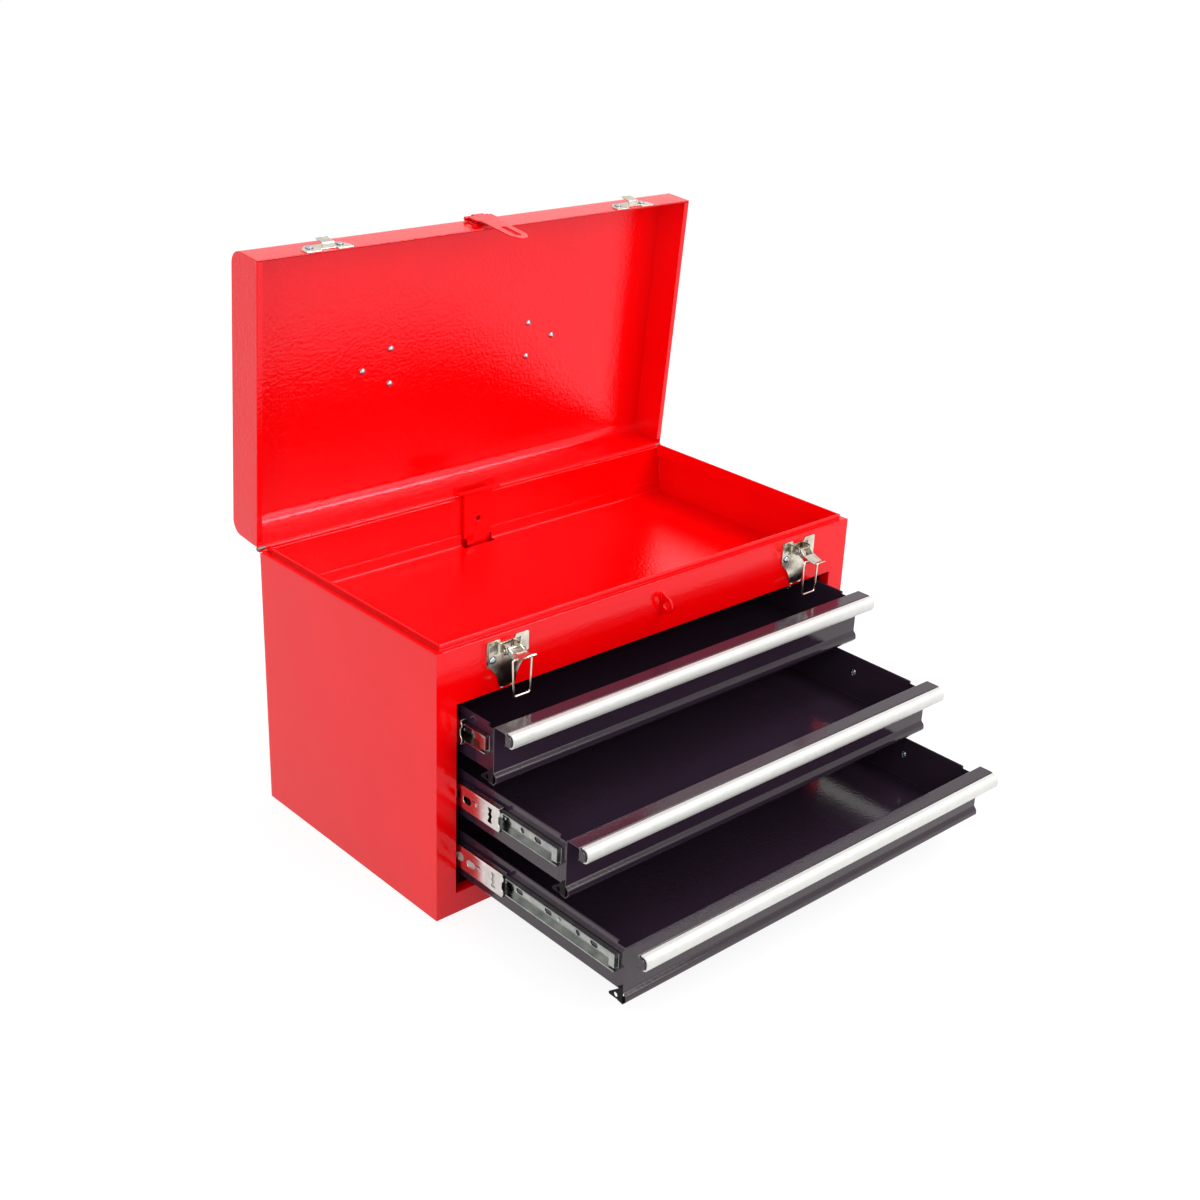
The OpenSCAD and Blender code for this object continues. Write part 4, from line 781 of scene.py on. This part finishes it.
outer_line = rounded(mirrored([(229.4, -14.5), (237, -14.5)], (1, -1)), 1.6)
stop_line = rounded(mirrored([(228.3, -6.8), (231.6, -6.8)], (1, -1)), 1.2)
nose = [(1.2, -9.9), (0, -8.2), (0.4, -5.2), (2.2, -3.2), (2.4, 0), (2.2, 3.2), (0.4, 5.2), (0, 8.2),
        (1.2, 9.9)]
waist = [(3.6, 7.4), (1.4, 2.6), (3.0, 0), (1.4, -2.6), (3.6, -7.4), (-3.0, -7.4), (-1.6, -2.6), (-3.0, 0),
         (-1.6, 2.6), (-3.0, 7.4)]
for k in (1, 2, 3):
    z0 = slide_z[k]
    piece(f"case_slides_{k}_rails", moved(both([folded(outer_line, 1.0, -122, 123, "uwv")]), (0, 0, z0)),
          "case", zinc, [f"case_slides_{k}"])

    y0 = front + setback[k] - opened[k] / 2
    y1 = y0 + middle_long
    outline = np.vstack([[(y1, 9.9), (y1, -9.9)], rounded(nose, 1.2) + (y0, 0)])
    brace = rounded(waist, 0.6, 4, closed=True) + (y0 + 13.5, 0)
    keyhole = np.vstack([arc((y0 + 60, 0.6), 4.6, 40, 320, 14),
                         [(y0 + 69, -2.4), (y0 + 70.6, 0), (y0 + 69, 3.0)]])
    holes = [brace, oval(y0 + 45, -0.5, 11, 7), keyhole] + [oval(y0 + y, 0, 9, 5) for y in (128, 196)]
    hook = folded(rounded([(235.2, -0.6), (235.9, 0.2), (235.9, 3)], 0.5), 0.7, y0 + 32, y0 + 38.5, "uwv")
    rail = member(outline, holes, 234.4, 235.4, [(234.9, 9.9), (234.9, 11.3), (229.6, 11.3)], 1.2,
                  y0 + 1.4, y1)
    piece(f"middle_slides_{k}_rails", moved(both(rail + [hook]), (0, 0, z0)),
          f"middle_{k}", zinc, [f"middle_slides_{k}"])

    y0 = front + inner_setback - opened[k]
    y1 = y0 + inner_long
    holes = [oval(y0 + y, 0, *size) for y, size in
             ((30, (9, 4.6)), (50, (5, 5)), (88, (9, 4.6)), (126, (9, 4.6)), (180, (9, 4.6)))]
    outline = mirrored([(y0, -7.3), (y1, -7.3)], (1, -1))
    stop = folded(stop_line, 0.9, y0 + 1.5, y0 + 8, "uwv")
    rail = member(outline, holes, 227.6, 228.5, [(228.05, 7.1), (228.05, 8.1), (233.2, 8.1)], 1.0, y0, y1)
    piece(f"drawer_slides_{k}_rails", moved(both(rail + [stop]), (0, 0, z0)),
          f"drawer_{k}", shaded_zinc, [f"drawer_slides_{k}"])
    pressed(f"outer_cages_{k}", cage_zinc, 0.08)
    pressed(f"inner_cages_{k}", cage_zinc, 0.08)
pressed("slide_rivets", rivet_zinc)

# Drawer pans ------
# Each drawer is a folded pan in black enamel. Its side edges are hemmed inwards, and a lip
# on its back catches the lock plate's hook.
pan_x, hem_x, hemmed_from = 227.1, 225.7, 14
black = enamel("black_enamel", (0.029, 0.0165, 0.031), (0.033, 0.019, 0.035), peel=0.00012, wave=0.0004,
               roughness=0.09, gloss=0.5, tint=(1, 1, 0.88))
for k in (1, 2, 3):
    y0, y1 = front + sheet - opened[k], 128 - opened[k]
    low, edge = foot[k] + 6.4, top[k] - 4.4
    rear_y = y1 - sheet / 2
    hemmed = rounded(mirrored([(-hem_x, edge - 6), (-hem_x, edge), (-pan_x, edge), (-pan_x, low)]),
                     (0, 0.7, 0.7, 1.6, 1.6, 0.7, 0.7, 0))
    plain_edge = rounded(mirrored([(-pan_x, edge - 3), (-pan_x, low)]), 1.6)
    lip = rounded([(rear_y, edge - 10), (y1 + 3.4, edge - 10), (y1 + 3.4, edge - 6.8)], 0.8)
    rear = np.array([(rear_y, low - 0.4), (rear_y, edge + 0.2)])
    piece(f"drawer_pan_{k}_sheet",
          [folded(hemmed, sheet, y0 + hemmed_from, y1 - sheet, "uwv", 0.1),
           folded(plain_edge, sheet, y0, y0 + hemmed_from, "uwv", 0.1),
           folded(rear, sheet, -227.3, 227.3, "wuv", 0.1), folded(lip, sheet, -12, 4, "wuv")],
          f"drawer_{k}", black, [f"drawer_pan_{k}"])

# Drawer fronts ------
# The front is one fold of black sheet: a kicked foot, the upright face, a flat flange to
# grip over and a rolled nose that the strip clips to. A small gusset with a hole closes each
# lower corner. Its enamel is painted darker and duller than the rest, as painted shade for
# corners that lie in shade under the pan.
# Painted shade: a darker, duller copy of the black enamel for the gussets.
shaded_black = enamel("black_enamel_shaded", (0.009, 0.006, 0.009), (0.011, 0.008, 0.011), peel=0.00012,
                    wave=0.0004, roughness=0.4, gloss=0.06, tint=(1, 0.99, 0.93))


def nose_line(k, inside, start, end, steps):
    """The strip's bulged face: y and z are powers 0.7 and 0.85 of a half circle's cosine and sine."""
    a = np.radians(np.linspace(start, end, steps + 1))
    deep, tall = 6 - inside, 6.75 - inside
    return np.stack([front - 17.6 - opened[k] - deep * np.abs(np.cos(a)) ** 0.7,
                     top[k] - 6.75 + tall * np.sign(np.sin(a)) * np.abs(np.sin(a)) ** 0.85], -1)


for k in (1, 2, 3):
    y0, z0, z1 = front - opened[k], foot[k], top[k]
    web = y0 + sheet / 2
    fold = rounded([(web + 6, z0 + 1.4), (web, z0 + 0.4), (web - 3.8, z0 + 4.6), (web - 3.2, z0 + 9),
                    (web, z0 + 12), (web, z1 - 0.4), (y0 - 14.0, z1 - 0.4), (y0 - 15.5, z1 - 2.15)],
                   (0, 0.8, 2.6, 3.2, 2.6, 1.3, 1.2, 0), 7)
    line = np.vstack([fold, nose_line(k, 2.15, 76, -90, 20), [(y0 - 13.6, z1 - 13.5 + 2.15)]])
    gusset = rounded([(y0 + 0.8, z0 + 1.4), (y0 + 20, z0 + 1.4), (y0 + 0.8, z0 + 17)], (0, 1.5, 0), 5)
    cap = np.vstack([nose_line(k, 1.9, 86, -86, 24), [(y0 - 14.2, z1 - 11.6), (y0 - 14.2, z1 - 1.9)]])
    corners = [plate(gusset, [arc((y0 + 9, z0 + 5), 2.2, 0, 345, 15)], 232.2, 233, "wuv", 0.12)]
    ends = [plate(cap, [], 231.6, 232.8, "wuv", 0.2)]
    piece(f"drawer_front_{k}_sheet", [folded(line, sheet, -233, 233, "wuv", 0.15)] + both(ends),
          f"drawer_{k}", black, [f"drawer_front_{k}"])
    piece(f"drawer_front_{k}_gussets", both(corners), f"drawer_{k}", shaded_black,
          [f"drawer_front_{k}"])

# Pull strips ------
# An extruded aluminium strip with a bulged face is clipped over each nose. It is brushed
# lengthwise and anodised to a satin finish.
strip_metal = metal("strip_aluminium", (0.70, 0.695, 0.67), (0.65, 0.645, 0.62), 0.5, grain=700,
                    depth=0.00003, stretch=(0.012, 1, 1), metallic=0.5)
strip_half, strip_edge = 231, 0.25
for k in (1, 2, 3):
    lip, low, high = front - 15.6 - opened[k], top[k] - 13.5, top[k]
    outline = turning(np.vstack([[(lip, high)], nose_line(k, 0, 88, -88, 30), [(lip, low), (lip, low + 1.4)],
                                 nose_line(k, 1.4, -88, 88, 30), [(lip, high - 1.4)]]), True)
    inner = outline + normals(outline, True) * strip_edge
    piece(f"pull_strip_{k}_extrusion",
          [loft(prism(outline, inner, -strip_half, strip_half, "wuv", strip_edge))],
          f"drawer_{k}", strip_metal, [f"pull_strip_{k}"])


# Drawer screws ------
# Two bright round headed screws on each side hold the pan to its slides. Their slotted heads
# show inside.
def screw_head(centre, inward, steps=40):
    """A round head: height 1.6 at the middle falling with the square of the distance, and cut by a slot
    0.9 wide and 0.8 deep. Under it the rings go back to the shank."""
    r = np.array([3.6, 3.6, 3.4, 3.0, 2.4, 1.8, 1.2, 0.6, 0.05])
    t = np.linspace(0, 2 * np.pi, steps, endpoint=False)
    a, b = r[:, None] * np.cos(t), r[:, None] * np.sin(t)
    h = 0.4 + 1.2 * (1 - (r[:, None] / 3.6) ** 2) - 0.8 * hump(a, 0.5, 0.2) * hump(b, 3.2, 0.4)
    h[0], h[1] = -0.2, 0.4
    under = np.array([[1.7, -2.6], [1.7, -0.2]])
    a = np.vstack([under[:, :1] * np.cos(t), a])
    b = np.vstack([under[:, :1] * np.sin(t), b])
    h = np.vstack([np.repeat(under[:, 1:], steps, 1), h])
    return loft(np.stack([centre[0] + inward * h, centre[1] + a, centre[2] + b], -1))


screw_x, screw_setbacks = 226.7, (86, 214)
for k in (1, 2, 3):
    heads = [screw_head((s * screw_x, front + y - opened[k], slide_z[k]), -s)
             for s in (-1, 1) for y in screw_setbacks]
    piece(f"drawer_screws_{k}_heads", heads, f"drawer_{k}", rivet_zinc, [f"drawer_screws_{k}"],
          40)

# Lid shell ------
# Front, top and rear of the lid are one sheet with two wide bends, hemmed along the front
# rim. A tab inside the rear edge meets the lock plate's bar. The enamel inside has the
# strongest orange peel.
red_lid = enamel("red_enamel_lid", (0.90, 0.0005, 0.0015), (0.85, 0.0004, 0.0012), peel=0.00047,
                 wave=0.0005, roughness=0.035, gloss=0.42)
bend_front, bend_rear, bend_z = -123.6, 124.6, 293.6
hem = rounded([(-135.8, 272.6), (-135.8, 265.4), (-136.6, 265.4), (-136.6, 280)], (0, 0.4, 0.4, 0))
lid_tab = np.array([(129.2, 266.5), (137.0, 266.5)])


def over_top(radius, start, end):
    """The lid's section, from its start up over the two wide bends and down to its end."""
    return np.vstack([start, arc((bend_front, bend_z), radius, 180, 90, 14),
                      arc((bend_rear, bend_z), radius, 90, 0, 14), end])


def closed(p):
    """The points of the open lid, as they lie with the lid closed."""
    return lifted([(p, [])], -lid_open)[0][0]


def lid_painted_shade(p):
    """Painted shade: darker along the lid's rim, on the inner ply of the front hem and in the bend of the end
    flanges, where shade falls.
    """
    x, y, z = closed(p).T
    hem = (y > -136.3) & (y < -135.3) & (z < 274)
    bend = (np.abs(x) > 259.9) & (z < 268.4) & (y > -135.6) & (y < 133.8)
    return 0.9 * (hem | bend)


# The inner ply of the hem is painted darker, as painted shade.
piece("lid_shell_sheet",
      lifted([folded(over_top(13.0, hem, [(137.6, 264.5)]), sheet, -260.2, 260.2, "wuv", 0.0),
              folded(lid_tab, 1.0, -30, 22, "wuv", 0.15)]),
      "lid", red_lid, ["lid_shell"], painted_shade=lid_painted_shade)

# Lid ends ------
# A flat end is spot welded into each side of the shell and ground flush. A flange is folded
# in along its rim.
end = over_top(13.4, [(-137, 265)], [(138, 265)])
for name, side in sides.items():
    flange = rounded([(260.5, 268.0), (260.5, 265.4), (259.2, 265.4), (255.2, 265.4)], (0, 0.7, 0, 0))
    # The flange bend is painted darker, as painted shade.
    piece(f"lid_end_{name}_sheet",
          lifted([plate(end, [], side * 260.2, side * 261, "wuv", 0.35),
                  folded(flange * (side, 1), sheet, -135.2, 133.6, "uwv", 0.15)]),
          "lid", red_lid, [f"lid_end_{name}"], painted_shade=lid_painted_shade)

# Catches ------
# Each catch is a nickel plated pressing with cut corners and a notch in its lower edge. The
# tongue out of the notch is folded forwards and up, and its round end flares away to lead
# the bail in.
catch = rounded(mirrored([(8.2, 269.5), (9, 265.5), (25, 265.5), (25, 274.5), (18, 282.5)]),
                (1, 0.8, 1, 1.5, 1.5, 1.5, 1.5, 1, 0.8, 1), 4, closed=True)
hook_line = rounded([(-137.5, 270.15), (-142.85, 270.15), (-144.1, 281.4), (-146.4, 284.2)],
                    (0, 1.3, 5, 0), 9)
for name, side in sides.items():
    x = side * latch_x
    hook = strap(hook_line, 70, lambda s, left, u: (6.3 - 4.0 * round_end(left, 4.6), 0 * u), x)
    piece(f"catch_{name}_pressing",
          lifted([plate(catch + (x, 0), [], -138.1, -137, "uwv", 0.25), hook]),
          "lid", nickel, [f"catch_{name}"])

# Hasp ------
# A leaf riveted to the lid, a hinged tongue and its pin, all enamelled with the lid. The
# tongue narrows below its hinge, and its slot drops over the staple.
hasp_y, hasp_z, hasp_turn = -139.45, 294.0, -2.827
leaf = rounded([(-14, 277), (14, 277), (14, 291), (-14, 291)], (1.5, 1.5, 0, 0), 5, closed=True)
leaf_roll = np.vstack([[(-137.6, 290.8), (-137.7, 292.6)], arc((hasp_y, hasp_z), 1.5, 0, 250, 16)])
piece("hasp_leaf_plate",
      lifted([plate(leaf, [], -138.2, -137, "uwv", 0.2)] +
             [folded(leaf_roll, 1.0, a, b, "wuv", 0.12) for a, b in ((-14, -7), (7, 14))]),
      "lid", red_lid, ["hasp_leaf"])
hasp_pin = mirrored([(0.3, -14.3), (0.9, -14.1), (1, -13.8)], (1, -1))
piece("hasp_pin_wire", lifted([turned(hasp_pin, (0, hasp_y, hasp_z), (1, 0, 0), 16)]),
      "lid", red_lid, ["hasp_pin"])
bends = (0, 0.8, 1.5, 2, 3, 0.8, 0.6)
tongue = rounded(mirrored([(6.6, 291), (6.6, 289), (14, 289), (14, 277), (10, 274), (10, 229), (4.5, 220.2)]),
                 bends + bends[::-1], 5, closed=True)
slot = np.vstack([arc((0, 230), 3, 180, 360, 10), arc((0, 251), 3, 0, 180, 10)])
tongue_roll = np.vstack([[(-142.6, 290.4), (-142.6, 293.2)], arc((hasp_y, hasp_z), 1.5, 150, -150, 18)])
tongue_roll = rounded(tongue_roll, [0, 1.0] + [0] * (len(tongue_roll) - 2), 5)
piece("hasp_tongue_plate",
      lifted(lifted([plate(tongue, [slot], -143.2, -142, "uwv", 0.25),
                     folded(tongue_roll, 1.0, -6.5, 6.5, "wuv", 0.12)], hasp_turn, hasp_y, hasp_z)),
      "hasp", red_lid, ["hasp_tongue"])

# Rivets of the lid front ------
# The same tubular rivets hold the catches. Two small ones, painted over with the lid, hold
# the hasp leaf.
catch_rivet_x, catch_rivet_z = 16, 276
small = [(0.1, -2.4), (1.1, -2.4), (1.1, -0.1), (2, 0), (2, 0.35), (1.7, 0.9), (1.0, 1.2), (0.1, 1.25)]
# These heads carry the same painted shade ring round each collar.
piece("lid_front_rivet_heads", lifted(domes(catch_rivet_x, -138.1, catch_rivet_z)), "lid",
      rivet_zinc, ["lid_front_rivets"], painted_shade=lambda p: collar(closed(p), catch_rivet_x, catch_rivet_z))
piece("hasp_rivet_heads", lifted([turned(small, (dx, -138.2, 282), (0, -1, 0)) for dx in (-9.5, 9.5)]),
      "lid", red_lid, ["lid_front_rivets"])

# Handle brackets and rivets ------
# Each five sided bracket is a nickel plated pressing with a strap rolled over the handle's
# end. Three rivets go through it and the lid, and their bright domes show inside the lid.
handle_y, handle_z, lid_top = 2.0, 317.5, 307.0
spots = [(86.6, 18), (86.6, -18), (119.3, 0)]
five = rounded([(80, -23), (98, -23), (126, -5), (126, 9), (98, 27), (80, 27)], 4, 6, closed=True)
roll = np.vstack([[(handle_y + 5.2, 308)], arc((handle_y, handle_z), 5.2, 0, 180, 20),
                  [(handle_y - 5.2, 308)]])
for name, side in sides.items():
    bores = [arc((side * a, handle_y + b), 2.2, 0, 330, 11) for a, b in spots]
    piece(f"handle_bracket_{name}_pressing",
          lifted([plate(five * (side, 1), bores, lid_top, 308.6, "uvw", 0.3),
                  folded(roll, 1.6, side * 94, side * 108, "wuv", 0.3)]),
          "lid", nickel, [f"handle_bracket_{name}"])
inside = [(0.1, 3.6), (1.3, 3.6), (1.9, 3.3), (2.1, 2.6), (2.1, -0.8), (3.4, -0.8), (3.4, -1.1), (3.0, -2.2),
          (2.1, -3.0), (1.0, -3.4), (0.1, -3.45)]
outside = [(0.1, 1.5), (3.4, 1.6), (3.3, 2.2), (2.4, 2.6), (0.1, 2.7)]
heads = [turned(p, (s * a, handle_y + b, lid_top), (0, 0, 1)) for s in (-1, 1) for a, b in spots
         for p in (inside, outside)]
piece("handle_rivet_heads", lifted(heads), "lid", rivet_zinc, ["handle_rivets"])

# Handle ------
# An 8 mm nickel plated rod, bent to a flat loop, folds down on the lid. A ribbed black vinyl
# grip is drawn over its middle.
handle_turn, grip_y, grip_half, rib_pitch = 2.489, 40, 70, 5
rod = rounded(mirrored([(-109.5, handle_y), (-88, handle_y), (-88, grip_y)]), (0, 5, 9, 9, 5, 0), 10)
bent = tube(spread(rod, handle_z, "uvw"), 4.0, (0, 0, 1), 28)
piece("handle_rod", lifted(lifted([bent], handle_turn, handle_y, handle_z)),
      "handle", nickel, ["handle_rod_bent"], 60)
vinyl, nodes, links, shader = finish("black_vinyl", (0.018, 0.018, 0.019), roughness=0.45)
links.new(ranged(nodes, links, noise(nodes, links, 90, 4), 0.38, 0.55), shader.inputs["Roughness"])
bumped(nodes, links, shader, (noise(nodes, links, 900, 3), 0.00003))
s = np.linspace(-grip_half, grip_half, 281)
ribs = 8.4 - 0.5 * (0.5 - 0.5 * np.cos(2 * np.pi * s / rib_pitch)) - 1.8 * round_end(grip_half - np.abs(s), 3)
grip = np.vstack([[(4.1, -grip_half - 0.6)], np.stack([ribs, s], -1), [(4.1, grip_half + 0.6)]])
sleeve = turned(grip, (0, grip_y, handle_z), (1, 0, 0), 40)
piece("handle_grip_vinyl", lifted(lifted([sleeve], handle_turn, handle_y, handle_z)),
      "handle", vinyl, ["handle_grip"], 60)
